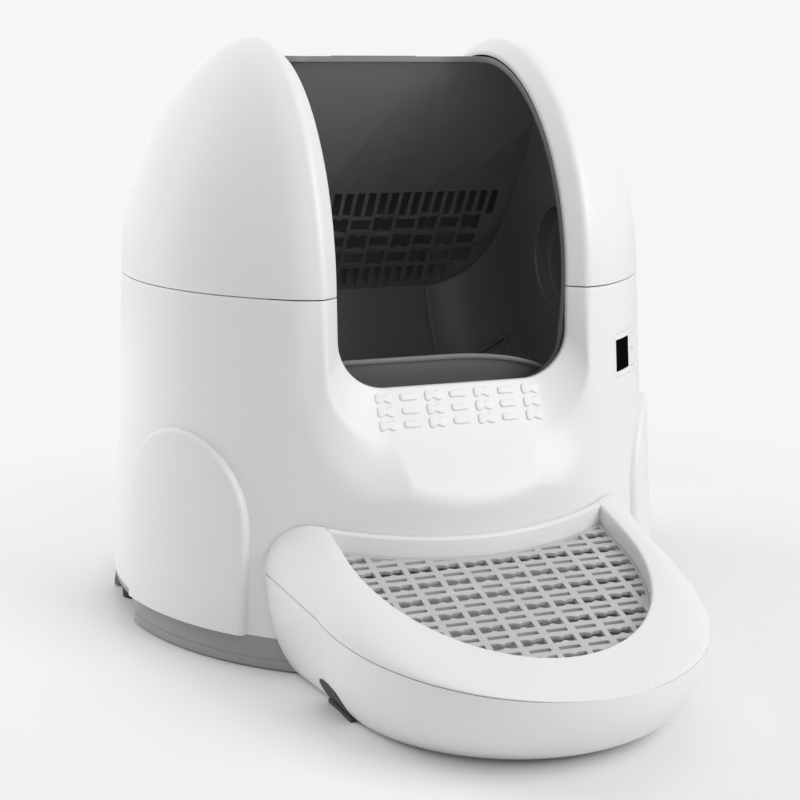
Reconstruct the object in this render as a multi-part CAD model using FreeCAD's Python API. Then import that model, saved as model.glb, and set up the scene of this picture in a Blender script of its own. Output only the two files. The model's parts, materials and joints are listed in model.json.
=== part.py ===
import FreeCAD, Part
import math
import os
from FreeCAD import Matrix, Vector

# Self-cleaning litter box with an open-topped globe. Millimetres, +Z up, the front looks along -Y.
# The shells share one vertical centre line. The drum turns about the left-right line through it.
# Angles round that line start at the front and rise over the top: 0 front, 90 top, 180 rear, 270 bottom.

# Body
axis_height = 335.0        # drum axis, and the seam between cover and lower housing
half_width = 260.0         # body at the seam, left-right
half_depth = 270.0         # body at the seam, front-rear
flare = 18.0               # how much wider the housing gets down to the skirt
skirt_top = 30.0           # white housing ends, grey skirt begins
wall = 3.0                 # moulded shells
seam_gap = 0.3             # between the two white shells, and above the skirt
tongue_depth = 8.0         # locating tongue under the cover
tongue_wall = 2.0
running_gap = 0.3          # between neighbours that only stand beside each other

# Entry frame: inner lip, ridge and outer crease, as half-widths and radii about the drum axis
lip_half = 111.0
lip_radius = 215.0
ridge_half = 126.5
ridge_radius = 228.0
facet_half = 172.0         # where the front facet has left the body
facet_radius = 216.2
frame_end = 130.0          # the opening ends behind the top
lip_sill = 252.0           # lowest point of the inner lip
lip_corner = 44.0
lip_lean = 4.0             # lip runs forward this much from seam to sill
ridge_sill = 209.0
ridge_corner = 57.0
ridge_lean = 15.0
facet_sill = 121.0
facet_corner = 125.0
facet_reach = 308.0        # the lower facet leaves the body in front of this depth
facet_elbow = 252.0
frame_overlap = 1.0        # degrees
tunnel_depth = 36.0        # straight way in behind the lip
# Shares of the wall by which an outline moves sideways, down and back to draw the frame's inner face
lip_back = (0.65, 0.5, 0.83)
ridge_back = (0.3, 0.57, 1.0)
facet_back = 0.6

# Ledge relief below the lip: raised bones and bars
relief_rows = 3
relief_columns = 7
relief_pitch = 23.7
relief_length = 17.0
relief_bone = 11.0
relief_bar = 7.0
relief_height = 1.5
relief_room = 3.85         # the ledge is this many row pitches deep
relief_first = 0.74        # row pitches from the lip to the first row
bone_waist = 0.5           # waist of a bone against its ends
bone_knee = 0.2            # where the waist starts, as a share of the length

# Arch bulges on both sides
bulge_angle = 61.0
bulge_width = 168.0
bulge_top = 209.0
bulge_proud = 7.0

# Drum: barrel with rounded ends
drum_radius = 205.0        # inside the barrel
drum_wall = 3.0
drum_half = 200.0          # inside face of the end wall
drum_round = 75.0          # inside radius between barrel and end wall
mouth_half = 108.0
mouth_low = -22.0
mouth_high = 93.0
mouth_corner = 42.0
trim_width = 2.5
trim_proud = 2.0
wedge_room = 50.0          # the mouth is cut this far to both sides of the barrel
tab_length = 90.0
tab_reach = 12.0
well_radius = 53.0         # round well in each end wall
well_depth = 17.0
hub_disc_radius = 38.0
hub_disc = 3.0
hub_notch_width = 16.0
hub_notch_depth = 10.0
shaft_radius = 20.0
shaft_end = 248.0
nut_radius = 29.0
nut_width = 6.5

# Sieve panel: flat plate across the drum, from the mouth's rear edge down to the rear wall
sieve_low = 195.0          # angle where the panel meets the rear wall
sieve_wall = 3.0
sieve_margin = 6.0         # solid edge at the foot
sieve_rim = 5.0            # solid edge at the sides
sieve_over = 20.0          # the plate is drawn this much too long and then trimmed
sieve_bar = 3.3
sieve_waist = 0.66
slot_pitch = 13.2
slot_width = 8.6
foot_slot = 27.0
head_slot = 33.0
cell_pitch = 25.0          # down the plate; across it a cell spans two slots
cell_bar = 4.4             # between cells of a row
bar_cell = 16.0
cell_rows = 3

# Litter liner on the drum floor
liner_wall = 3.5
liner_rear = 221.0
liner_bead = 8.0
liner_cheek = 0.35         # how far the liner climbs the rounded ends, as a share of the rounding
liner_front_gap = 2.0      # liner to the mouth's lower edge
flap_half = 92.0           # raised front edge that closes the foot of the mouth
flap_level = 274.0
flap_height = 40.0
flap_round = 50.0
flap_fall = 26.0
flap_bead = 5.5
flap_bead_proud = 2.0
flap_inset = 1.5

# Bearings and drive
bush_wall = 3.0
fit_play = 0.05            # running play on the radius
boss_radius = 34.0
boss_inner = 228.5
boss_outer = 246.0
bracket_inner = 230.0
bracket_wall = 6.0
bracket_foot = 150.0
bracket_head = 80.0
foot_flange = 26.0
foot_screw_inset = 12.0
ear_reach = 10.0           # ears for the cap's screws, beyond the boss
ear_height = 8.0
ear_depth = 12.0
ear_screw = 4.0            # screw line outside the boss
ear_screw_depth = 11.0
rib_width = 4.0
rib_depth = 8.0
window_margin = 25.0
gear_module = 4.0
gear_teeth = 60
pinion_teeth = 18
gear_width = 11.0
gear_rim = 14.0
gear_addendum = 0.9        # in modules
gear_dedendum = 1.25
pressure_angle = 20.0
gear_backlash = 0.2
flank_start = 0.5          # flank begins above the root
flank_bend = 0.4           # middle flank point above half height
gear_screws = 6
gear_screw_turn = 30.0
gear_gap = 0.3             # between the drum's end wall and the gear
magnet_angle = -70.0
magnet_radius = 4.0
magnet_thick = 2.2
sensor_size = Vector(6.0, 16.0, 12.0)    # x is its gap to the gear
shaft_small = 5.0
shaft_reach = 6.0          # pinion shaft in the gearbox
shaft_clear = 2.0
pinion_inset = 0.5
gearbox_length = 66.0
gearbox_height = 60.0
gearbox_depth = 25.0
gearbox_corner = 10.0
motor_radius = 12.0
motor_length = 56.0
motor_cap_radius = 5.4
motor_cap = 3.0

# Base tray
skirt_inset = 1.0          # skirt stands back from the housing's edge
skirt_clear = 1.5          # skirt hangs this far above the floor
skirt_lip = 1.0
skirt_lip_height = 8.0
tray_floor = 8.0
tray_wall = 3.0
hold_half = 59.0           # hand hold in each side of the skirt
hold_top = 24.0
hold_corner = 16.0
hold_depth = 36.0
foot_radius = 15.0
foot_height = 3.0
foot_seat = 2.0            # boss round a foot
front_foot = (172.0, -172.0)
rear_foot = (140.0, 212.0)
pillar_x = 204.5           # screw pillars of the housing
pillar_y = 185.0
pillar_top = 66.0
hold_foot_radius = 13.0
hold_foot_x = 258.0
hold_foot_y = 24.0

# Waste drawer and its bay
drawer_half = 140.0
drawer_rear = 175.0
drawer_bottom = 13.0
drawer_top = 111.0
drawer_wall = 2.5
drawer_front_wall = 3.25
bay_gap = 4.0
rail_width = 8.0
rail_offset = 110.0
rail_front = 216.0
ring_width = 7.0
ring_thick = 2.0
deck_half = 198.0
deck_level = 117.7
deck_wall = 3.0
port_half = 105.0
port_depth = 78.0
port_rim = 1.2             # rim under the port
kerb_height = 25.0
filter_size = Vector(90.0, 18.0, 60.0)
filter_lift = 20.0
filter_slots = 6
filter_slot_pitch = 12.0
filter_slot = 5.0
filter_slot_depth = 3.0
filter_margin = 8.0

# Pedal
pedal_reach = 536.0        # front of the pedal, from the body's centre line
pedal_half = 166.5
pedal_shoulder = 332.0     # where the sides start to curve in
pedal_rear_half = 178.0
pedal_rear_line = 238.0    # depth at which the rear half-width is measured
pedal_level_line = 342.0   # depth at which the heights below are measured
pedal_seam = 84.0
pedal_seam_slope = 0.055
pedal_wall = 3.0
pedal_gap = 0.8            # pedal to body
pedal_seam_gap = 0.6
pedal_floor = 3.0
dome_shares = (0.0, 0.3, 0.65, 1.0)      # sections of the upper shell from seam to rim
bowl_floor = (0.86, 0.9, 56.0)           # shares of both half-widths, and set back at the front
bowl_belly = (0.965, 0.975, 17.0)
belly_level = 0.42                       # height of the belly as a share of the seam's
strip_width = 6.6          # rear edge along the body
pedal_skin = 0.5
pedal_screw_pitch = 70.0
pedal_screw_level = 70.0
rim_half = 130.5
rim_reach = 478.0
rim_shoulder = 298.0
rim_height = 116.0
rim_slope = 0.22
rim_land = 6.0
well_through = 200.0       # cuts right through the pedal
well_over = 20.0
grille_drop = 17.0
grille_wall = 3.5
grille_ledge = 5.0
grille_frame = 2.5
grille_start = 251.5       # depth of the first row
grille_rows = 17
grille_columns = 10
grille_pitch_x = 26.0
grille_pitch_y = 12.5
grille_bone = (21.0, 9.5)
grille_slot = (19.0, 4.6)
grille_least = 0.15        # holes cut smaller than this share are left out
pedal_foot_length = 48.0
pedal_foot_top = 27.0
pedal_foot_corner = 12.0
pedal_foot_inset = 20.0
pedal_foot_turn = 3.0
pedal_foot_y = 333.0
pedal_foot_proud = 1.5
front_pad_x = 60.0
front_pad_y = 430.0
front_pad_radius = 12.0

# Display and buttons on the right front
panel_angle = 43.8
panel_width = 66.0
panel_height = 42.0
panel_level = 266.0
panel_play = 0.2
lens_angle = 41.3
lens_width = 35.0
lens_height = 30.5
button_angle = 48.1
button_size = 15.5
button_gap = 2.0
button_play = 0.25
board_back = 9.5           # display board behind the outer face
board_wall = 1.6
post_aside = 25.0          # board posts from the panel's middle
switch_height = 2.8
switch_size = 6.0
control_angle = 56.5       # main board behind the right bulge
control_level = 154.0
control_width = 90.0
control_height = 60.0
control_back = 19.5
chip_size = 14.0
chip_height = 2.5
presence_size = Vector(36.0, 24.0, 18.0)

# Power inlet in the rear wall
socket_radius = 6.0
socket_level = 62.0
socket_side = 90.0
socket_depth = 18.0
socket_set = 2.5           # barrel stands back from the wall's face
socket_bore = 2.7
socket_bore_depth = 12.0
socket_pin = 1.0
socket_pin_depth = 9.0
socket_flange = 3.0        # wider than the barrel
socket_flange_thick = 5.0

# Screws
screw_radius = 2.0
thread_hole = 1.6          # the thread bites into this radius
screw_head = 4.0
screw_head_height = 2.5
screw_bite = 12.0

# Worked-out places
body_rear = half_depth + flare
centre_shift = (pedal_reach - body_rear) / 2.0
drum_end = drum_half + drum_wall
drum_outer = drum_radius + drum_wall
well_floor = drum_half + well_depth
well_back = well_floor + drum_wall
centre_distance = gear_module * (gear_teeth + pinion_teeth) / 2.0
ring_root = gear_module * (gear_teeth / 2.0 - gear_dedendum)
ring_middle = ring_root - gear_rim / 2.0
cap_screw_x = (boss_inner + boss_outer) / 2.0
cap_screw_y = boss_radius + ear_screw
pinion_height = axis_height - centre_distance
gear_face = drum_end + gear_gap
far = 700.0
x_line = Vector(1, 0, 0)
axis_point = Vector(0, 0, axis_height)


def save(node, shape):
    """Move from the body's centre line to the origin under the middle of the whole, and write."""
    placed = shape.copy()
    placed.translate(Vector(0, centre_shift, 0))
    os.makedirs("parts", exist_ok=True)
    placed.exportStep("parts/" + node + ".step")
    print("%-20s solids %d  volume %9.0f" % (node, len(placed.Solids), placed.Volume))


def box(low, high):
    size = high.sub(low)
    return Part.makeBox(size.x, size.y, size.z, low)


def rod(radius, start, end):
    line = end.sub(start)
    return Part.makeCylinder(radius, line.Length, start, line)


def polygon(points):
    return Part.Face(Part.makePolygon(points + [points[0]]))


def fuse(shapes):
    first = shapes[0]
    whole = first.fuse(shapes[1:]) if len(shapes) > 1 else first
    return whole.removeSplitter()


def biggest(shape):
    return max(shape.Solids, key=lambda solid: solid.Volume)


def mirrored(shape):
    """Left-right mirror image."""
    return shape.mirror(Vector(0, 0, 0), x_line)


def polar(x, radius, angle):
    """Point at a radius and angle about the drum axis."""
    turn = math.radians(angle)
    return Vector(x, -radius * math.cos(turn), axis_height + radius * math.sin(turn))


def spun(face, low, high):
    """Turn a face drawn in x and z (z as radius) about the drum axis, from one angle to another."""
    drawn = face.copy()
    drawn.translate(axis_point)
    drawn.rotate(axis_point, x_line, 90.0 - high)
    return drawn.revolve(axis_point, x_line, high - low)


def offset_path(points, distance):
    """Open polyline in (x, radius), moved sideways by a distance, with mitred corners."""
    normals = []
    for (x0, r0), (x1, r1) in zip(points, points[1:]):
        length = math.hypot(x1 - x0, r1 - r0)
        normals.append(((r1 - r0) / length, (x0 - x1) / length))
    moved = []
    for index, (x, r) in enumerate(points):
        before = normals[max(index - 1, 0)]
        after = normals[min(index, len(normals) - 1)]
        nx = before[0] + after[0]
        nr = before[1] + after[1]
        scale = 2.0 * distance / (nx * nx + nr * nr)
        moved.append((x + nx * scale, r + nr * scale))
    return moved


def flat_face(pairs):
    """Face in the x-z plane from (x, radius) pairs."""
    return polygon([Vector(x, 0, r) for x, r in pairs])


# Body shells

def body_half(level):
    """Half-width of the housing at a height, and how far it stands out from the seam."""
    return flare * (axis_height - level) / (axis_height - skirt_top)


def oval(level, grow):
    """Plan outline of the housing at a height."""
    out = body_half(level) + grow
    tip = Vector(0, half_depth + out, level)
    side = Vector(half_width + out, 0, level)
    return Part.Wire(Part.Ellipse(tip, side, Vector(0, 0, level)).toShape())


def oval_body(low, high, grow=0.0):
    return Part.makeLoft([oval(low, grow), oval(high, grow)], True, True)


def dome(grow=0.0):
    """Solid half globe above the seam: an ellipse turned about the drum axis."""
    tip = Vector(0, 0, half_depth + grow)
    side = Vector(half_width + grow, 0, 0)
    curve = Part.Ellipse(tip, side, Vector(0, 0, 0))
    arc = Part.Arc(curve, -math.pi / 2.0, math.pi / 2.0).toShape()
    ends = [vertex.Point for vertex in arc.Vertexes]
    chord = Part.makeLine(ends[1], ends[0])
    return spun(Part.Face(Part.Wire([arc, chord])), 0.0, 180.0)


def frame_line():
    """Half profile of the entry frame: lip, ridge, facet."""
    return [(lip_half, lip_radius), (ridge_half, ridge_radius), (facet_half, facet_radius)]


def frame_air(low, high):
    """The space in front of the entry frame above the seam."""
    right = frame_line()
    left = [(-x, r) for x, r in reversed(right)]
    inner = lip_radius - 4.0 * wall
    outer = half_depth + 10.0 * wall
    loop = [(lip_half, inner)] + right + [(facet_half, outer), (-facet_half, outer)] + left
    return spun(flat_face(loop + [(-lip_half, inner)]), low, high)


def frame_wall(low, high):
    """The moulded wall of the entry frame above the seam, both sides."""
    line = frame_line()
    back = offset_path(line, wall)
    right = spun(flat_face(line + back[::-1]), low, high)
    return right.fuse(mirrored(right))


def u_wire(half, sill, corner, top_y, side_y, elbow_y, sill_y, top):
    """Closed U-shaped outline whose corners may stand at another depth than its sides and sill."""
    def corner_arc(sign):
        side_end = Vector(sign * half, side_y, sill + corner)
        sill_end = Vector(sign * (half - corner), sill_y, sill)
        bend = corner * (1.0 - math.sqrt(0.5))
        middle = Vector(sign * (half - bend), elbow_y, sill + bend)
        return side_end, sill_end, Part.Arc(side_end, middle, sill_end).toShape()
    right_side, right_sill, right_arc = corner_arc(1)
    left_side, left_sill, left_arc = corner_arc(-1)
    right_top = Vector(half, top_y, top)
    left_top = Vector(-half, top_y, top)
    return Part.Wire([Part.makeLine(left_top, right_top), Part.makeLine(right_top, right_side), right_arc,
                      Part.makeLine(right_sill, left_sill), left_arc, Part.makeLine(left_side, left_top)])


def leaning_wire(half, sill, corner, depth, lean, top):
    """U outline in a plane that leans forward by a distance from the seam down to its sill."""
    slope = lean / (axis_height - sill)

    def at(level):
        return -depth - slope * (axis_height - level)
    bend = corner * (1.0 - math.sqrt(0.5))
    return u_wire(half, sill, corner, at(top), at(sill + corner), at(sill + bend), at(sill), top)


def low_funnel(grow):
    """Space of the entry frame below the seam: lip, ridge and facet outlines joined by straight bands."""
    top = axis_height + wall
    side, down, back = [share * grow for share in lip_back]
    lip = leaning_wire(lip_half + side, lip_sill - down, lip_corner + down, lip_radius - back, lip_lean, top)
    side, down, back = [share * grow for share in ridge_back]
    ridge = leaning_wire(ridge_half + side, ridge_sill - down, ridge_corner + side, ridge_radius - back,
                         ridge_lean, top)
    facet = u_wire(facet_half, facet_sill - facet_back * grow, facet_corner, -facet_radius + grow,
                   -facet_radius + grow, -facet_elbow + grow, -facet_reach + grow, top)
    clear = half_depth + 4.0 * flare
    outside = leaning_wire(facet_half + flare, facet_sill - flare, facet_corner, clear, 0.0, top)
    return Part.makeLoft([lip, ridge, facet, outside], True, True)


def lip_tunnel():
    """Straight way in through the lip outline, behind the frame."""
    wire = leaning_wire(lip_half, lip_sill, lip_corner, lip_radius + running_gap, lip_lean,
                        axis_height + wall)
    return Part.Face(wire).extrude(Vector(0, tunnel_depth, 0))


def facing(angle, level, width, height, near, reach):
    """Block square to the direction at an angle from the front towards the right."""
    block = Part.makeBox(width, reach, height, Vector(-width / 2.0, -near - reach, level - height / 2.0))
    block.rotate(Vector(0, 0, 0), Vector(0, 0, 1), angle)
    return block


def arch_prism(angle, width, top, near, reach):
    """Prism with an arched top, facing an angle, standing on the skirt."""
    half = width / 2.0
    spring = top - half
    right = Vector(half, -near, spring)
    left = Vector(-half, -near, spring)
    low_right = Vector(half, -near, 0)
    low_left = Vector(-half, -near, 0)
    arc = Part.Arc(right, Vector(0, -near, top), left).toShape()
    wire = Part.Wire([Part.makeLine(low_left, low_right), Part.makeLine(low_right, right), arc,
                      Part.makeLine(left, low_left)])
    prism = Part.Face(wire).extrude(Vector(0, -reach, 0))
    prism.rotate(Vector(0, 0, 0), Vector(0, 0, 1), angle)
    return prism


def bone_points(length, width, along, across, centre, narrow=bone_waist):
    """Bone outline: two wide ends and a narrow waist."""
    half = length / 2.0
    end = width / 2.0
    waist = end * narrow
    knee = length * bone_knee
    pairs = [(-half, -end), (-knee, -end), (0.0, -waist), (knee, -end), (half, -end),
             (half, end), (knee, end), (0.0, waist), (-knee, end), (-half, end)]
    return [centre + along * u + across * v for u, v in pairs]


def bar_points(length, width, along, across, centre):
    half = length / 2.0
    end = width / 2.0
    pairs = [(-half, -end), (half, -end), (half, end), (-half, end)]
    return [centre + along * u + across * v for u, v in pairs]


def ledge_relief():
    """Raised bones and bars on the sloping ledge between lip and ridge."""
    top = Vector(0, -lip_radius - lip_lean, lip_sill)
    foot = Vector(0, -ridge_radius - ridge_lean, ridge_sill)
    slope = foot.sub(top)
    down = Vector(slope).normalize()
    out = x_line.cross(down).normalize()
    if out.y > 0:
        out = out * -1.0
    shapes = []
    row_pitch = slope.Length / relief_room
    for column in range(relief_columns):
        x = (column - (relief_columns - 1) / 2.0) * relief_pitch
        outline, width = (bar_points, relief_bar) if column % 2 else (bone_points, relief_bone)
        for row in range(relief_rows):
            centre = top + down * ((row + relief_first) * row_pitch) + x_line * x
            loop = outline(relief_length, width, x_line, down, centre - out * relief_height)
            shapes.append(polygon(loop).extrude(out * (2.0 * relief_height)))
    return shapes


def pillar_places():
    return [(sx * pillar_x, sy * pillar_y) for sx in (-1, 1) for sy in (-1, 1)]


def panel_window(play):
    return facing(panel_angle, panel_level, panel_width - 2 * play, panel_height - 2 * play,
                  half_width / 2.0, far / 2.0)


def bay_mouth():
    """Opening in the front of housing and skirt that the drawer passes."""
    half = drawer_half + bay_gap
    return box(Vector(-half, -far, tray_floor + tray_wall + running_gap),
               Vector(half, 0, drawer_top + bay_gap))


def lower_housing():
    low = skirt_top + seam_gap
    outer = oval_body(low, axis_height)
    inner = oval_body(low - wall, axis_height + wall, -wall)
    bulges = []
    hollows = []
    for sign in (-1, 1):
        arch = arch_prism(sign * bulge_angle, bulge_width, bulge_top, half_width / 2.0, far / 2.0)
        slim = arch_prism(sign * bulge_angle, bulge_width - 2 * wall, bulge_top - wall,
                          half_width / 2.0, far / 2.0)
        bulges.append(oval_body(low, bulge_top + wall, bulge_proud).common(arch))
        hollows.append(oval_body(low - wall, bulge_top + wall, bulge_proud - wall).common(slim))
    shell = outer.fuse(bulges).cut([inner] + hollows)
    air = low_funnel(0.0).common(outer)
    band = low_funnel(wall).common(outer).cut(air)
    shell = shell.fuse(band).cut([air, lip_tunnel()])
    pillars = []
    for x, y in pillar_places():
        post = rod(3.0 * screw_radius, Vector(x, y, low), Vector(x, y, pillar_top))
        pillars.append(post.cut(rod(thread_hole, Vector(x, y, 0), Vector(x, y, pillar_top - wall))))
    shell = shell.fuse([post.common(outer) for post in pillars])
    socket = rod(socket_radius + running_gap, socket_place(-2.0 * socket_depth), socket_place(socket_depth))
    shell = shell.cut([bay_mouth(), panel_window(0.0), socket])
    shell = biggest(shell)
    return biggest(shell.fuse(ledge_relief() + control_posts()).removeSplitter())


def socket_place(out):
    """Point on the inlet's axis, from inside the rear wall outwards."""
    grow = body_half(socket_level)
    depth = (half_depth + grow) * math.sqrt(1.0 - (socket_side / (half_width + grow)) ** 2)
    return Vector(socket_side, depth + out, socket_level)


def power_inlet():
    barrel = rod(socket_radius, socket_place(-socket_depth), socket_place(-socket_set))
    bore = rod(socket_bore, socket_place(-socket_bore_depth), socket_place(0.0))
    flange = rod(socket_radius + socket_flange, socket_place(-socket_depth - socket_flange_thick),
                 socket_place(-socket_depth))
    pin_foot = -socket_bore_depth - wall / 3.0
    pin = rod(socket_pin, socket_place(pin_foot), socket_place(pin_foot + socket_pin_depth))
    return barrel.fuse(flange).cut(bore).fuse(pin)


def upper_cover():
    outer = dome()
    shell = outer.cut(dome(-wall))
    band = frame_wall(0.0, frame_end + frame_overlap).common(outer)
    turn = math.degrees(wall / half_depth)
    end = frame_air(frame_end, frame_end + turn)
    inner_part = spun(flat_face([(lip_half + wall, 0.0), (lip_half + wall, lip_radius),
                                 (-lip_half - wall, lip_radius), (-lip_half - wall, 0.0)]),
                      frame_end - turn, frame_end + 2 * turn)
    end = end.cut(inner_part).common(outer)
    shell = shell.fuse([band, end]).cut(frame_air(-frame_overlap, frame_end))
    level = axis_height - tongue_depth
    ring_low = oval_ring(level, axis_height + 2.0 * wall, wall + running_gap, tongue_wall)
    keep_out = box(Vector(-facet_half, -far, 0), Vector(facet_half, -half_depth / 3.0, far))
    ring_low = ring_low.cut(keep_out)
    shell = shell.cut(box(Vector(-far, -far, 0), Vector(far, far, axis_height + seam_gap)))
    return biggest(shell.fuse(ring_low.common(fuse([dome(), box_under(tongue_depth)]))).removeSplitter())


def box_under(depth):
    return box(Vector(-far, -far, axis_height - depth), Vector(far, far, axis_height + seam_gap))


def oval_ring(low, high, inset, thick):
    """Upright oval ring, set in from the body's outline at the seam."""
    rings = []
    for extra in (inset, inset + thick):
        tip = Vector(0, half_depth - extra, low)
        side = Vector(half_width - extra, 0, low)
        wire = Part.Wire(Part.Ellipse(tip, side, Vector(0, 0, low)).toShape())
        rings.append(Part.Face(wire).extrude(Vector(0, 0, high - low)))
    return rings[0].cut(rings[1])


# Drum

def barrel_face(grow):
    """Half profile of the barrel with rounded ends, as a closed face down to the axis."""
    end = drum_half + grow
    top = drum_radius + grow
    bend = drum_round + grow
    start = end - bend
    fall = top - bend
    cut = bend * math.sqrt(0.5)
    right = Part.Arc(Vector(start, 0, top), Vector(start + cut, 0, fall + cut), Vector(end, 0, fall))
    left = Part.Arc(Vector(-end, 0, fall), Vector(-start - cut, 0, fall + cut), Vector(-start, 0, top))
    edges = [Part.makeLine(Vector(-start, 0, top), Vector(start, 0, top)), right.toShape(),
             Part.makeLine(Vector(end, 0, fall), Vector(end, 0, 0)),
             Part.makeLine(Vector(end, 0, 0), Vector(-end, 0, 0)),
             Part.makeLine(Vector(-end, 0, 0), Vector(-end, 0, fall)), left.toShape()]
    return Part.Face(Part.Wire(edges))


def barrel_solid(grow):
    return spun(barrel_face(grow), -180.0, 180.0)


def mouth_wedge(grow, extra=0.0):
    """Mouth of the drum as a wedge about the axis, its four corners rounded."""
    inner = drum_radius - wedge_room - extra
    outer = drum_radius + wedge_room + extra
    turn = math.degrees(grow / drum_radius)
    half = mouth_half + grow
    face = flat_face([(-half, inner), (half, inner), (half, outer), (-half, outer)])
    wedge = spun(face, mouth_low - turn, mouth_high + turn)
    corners = []
    for edge in wedge.Edges:
        ends = [vertex.Point for vertex in edge.Vertexes]
        if len(ends) == 2 and abs(ends[0].x - ends[1].x) < 0.01 and isinstance(edge.Curve, Part.Line):
            if abs(abs(ends[0].x) - half) < 0.01:
                corners.append(edge)
    return wedge.makeFillet(mouth_corner + grow, corners)


def drum_barrel():
    start = drum_half - drum_round
    ring = box(Vector(-start, -far, -far), Vector(start, far, 2 * far))
    shell = barrel_solid(drum_wall).cut(barrel_solid(0.0)).common(ring)
    return biggest(shell.cut(mouth_wedge(0.0)))


def drum_end_right():
    start = drum_half - drum_round + running_gap / 3.0
    side = box(Vector(start, -far, -far), Vector(far, far, 2 * far))
    shell = barrel_solid(drum_wall).cut(barrel_solid(0.0)).common(side)
    cup = rod(well_radius + drum_wall, Vector(drum_half, 0, axis_height), Vector(well_back, 0, axis_height))
    mouth = Vector(drum_half - drum_wall, 0, axis_height)
    well = rod(well_radius, mouth, Vector(well_floor, 0, axis_height))
    hole = rod(shaft_radius + fit_play, Vector(0, 0, axis_height), Vector(well_back + wall, 0, axis_height))
    return shell.fuse(cup).cut([well, hole])


def mouth_trim():
    """Light bead round the edge of the mouth."""
    outer = barrel_solid(drum_wall + trim_proud)
    inner = barrel_solid(-trim_proud / 2.0)
    loop = mouth_wedge(-running_gap / 3.0).cut(mouth_wedge(-trim_width, wall))
    return biggest(loop.common(outer).cut(inner))


def rim_tab():
    """Small raised grip in the middle of the mouth's rear edge."""
    inner = drum_outer + running_gap
    start = mouth_high + math.degrees(4.0 * running_gap / drum_outer)
    turn = math.degrees(tab_reach / drum_outer)
    face = flat_face([(-tab_length / 2.0, inner), (tab_length / 2.0, inner),
                      (tab_length / 2.0, inner + trim_proud), (-tab_length / 2.0, inner + trim_proud)])
    return spun(face, start, start + turn)


def sieve_frame():
    """Local directions of the sieve plate: its top edge, down along it, and its face direction."""
    top = polar(0, drum_radius, mouth_high)
    low = polar(0, drum_radius, sieve_low)
    line = low.sub(top)
    down = Vector(line).normalize()
    out = Vector(0, -down.z, down.y)
    if out.y > 0:
        out = out * -1.0
    return top, down, out, line.Length


def plate_half(point):
    """Half-width of the drum's inside at a point's distance from the axis."""
    rise = math.hypot(point.y, point.z - axis_height) - (drum_radius - drum_round)
    if rise <= 0:
        return drum_half
    return drum_half - drum_round + math.sqrt(max(drum_round ** 2 - rise ** 2, 0.0))


def sieve_holes():
    """Openings of the sieve from its foot upwards: slots, rows of cells, and slots again."""
    top, down, out, length = sieve_frame()
    prisms = []

    def pierce(outline, x, along, wide, tall, *extra):
        """One opening, unless it comes too near the plate's side."""
        ends = [plate_half(top + down * (along + side * tall / 2.0)) for side in (-1, 1)]
        if abs(x) + wide / 2.0 > min(ends) - sieve_rim:
            return
        loop = outline(wide, tall, x_line, down, top + down * along + x_line * x + out * wall, *extra)
        prisms.append(polygon(loop).extrude(out * (-3.0 * sieve_wall)))

    def is_bone(column, row):
        return (column + row) % 2 == 0

    columns = int(drum_half // (2.0 * slot_pitch)) + 1
    foot = length - sieve_margin
    bone_cell = cell_pitch - sieve_bar
    middle = foot - foot_slot - sieve_bar - bone_cell / 2.0
    head = middle - (cell_rows - 1) * cell_pitch - bone_cell / 2.0 - sieve_bar
    for column in range(-columns, columns + 1):
        x = 2.0 * slot_pitch * column
        for side in (-1, 1):
            beside = x + side * slot_pitch / 2.0
            pierce(bar_points, beside, foot - foot_slot / 2.0, slot_width, foot_slot)
            longer = 0.0 if is_bone(column, cell_rows - 1) else (bone_cell - bar_cell) / 2.0
            pierce(bar_points, beside, head - (head_slot - longer) / 2.0, slot_width, head_slot + longer)
        for row in range(cell_rows):
            wide = 2.0 * slot_pitch - cell_bar
            along = middle - row * cell_pitch
            if is_bone(column, row):
                pierce(bone_points, x, along, wide, bone_cell, sieve_waist)
            else:
                pierce(bar_points, x, along, wide, bar_cell)
    return prisms


def sieve_panel():
    top, down, out, length = sieve_frame()
    half = drum_half + wall
    head = down * -sieve_over
    foot = down * (length + sieve_over)
    face = polygon([top - x_line * half + head, top + x_line * half + head, top + x_line * half + foot,
                    top - x_line * half + foot])
    plate = face.extrude(out * -sieve_wall).common(barrel_solid(-running_gap / 3.0))
    return biggest(plate.cut(mouth_wedge(trim_width)).cut(sieve_holes()))


def litter_liner():
    low = liner_rear
    high = 360.0 + mouth_low - math.degrees(liner_front_gap / drum_radius)
    outer = barrel_solid(-running_gap)
    rise = drum_radius - drum_round * (1.0 - liner_cheek)
    span = flat_face([(-drum_half, rise), (drum_half, rise), (drum_half, drum_radius),
                      (-drum_half, drum_radius)])
    mat = outer.cut(barrel_solid(-running_gap - liner_wall)).common(spun(span, low, high))
    turn = math.degrees(liner_bead / drum_radius)
    band = outer.cut(barrel_solid(-running_gap - liner_wall - liner_bead / 2.0))
    bead = band.common(spun(span, low, low + turn))
    outside = barrel_solid(-flap_inset)
    flap = outside.cut(barrel_solid(-flap_inset - liner_wall)).common(flap_prism(0.0))
    edge = outside.cut(barrel_solid(-flap_inset - liner_wall - flap_bead_proud))
    edge = edge.common(flap_prism(0.0).cut(flap_prism(flap_bead)))
    return biggest(mat.fuse([bead, flap, edge]).removeSplitter())


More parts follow.
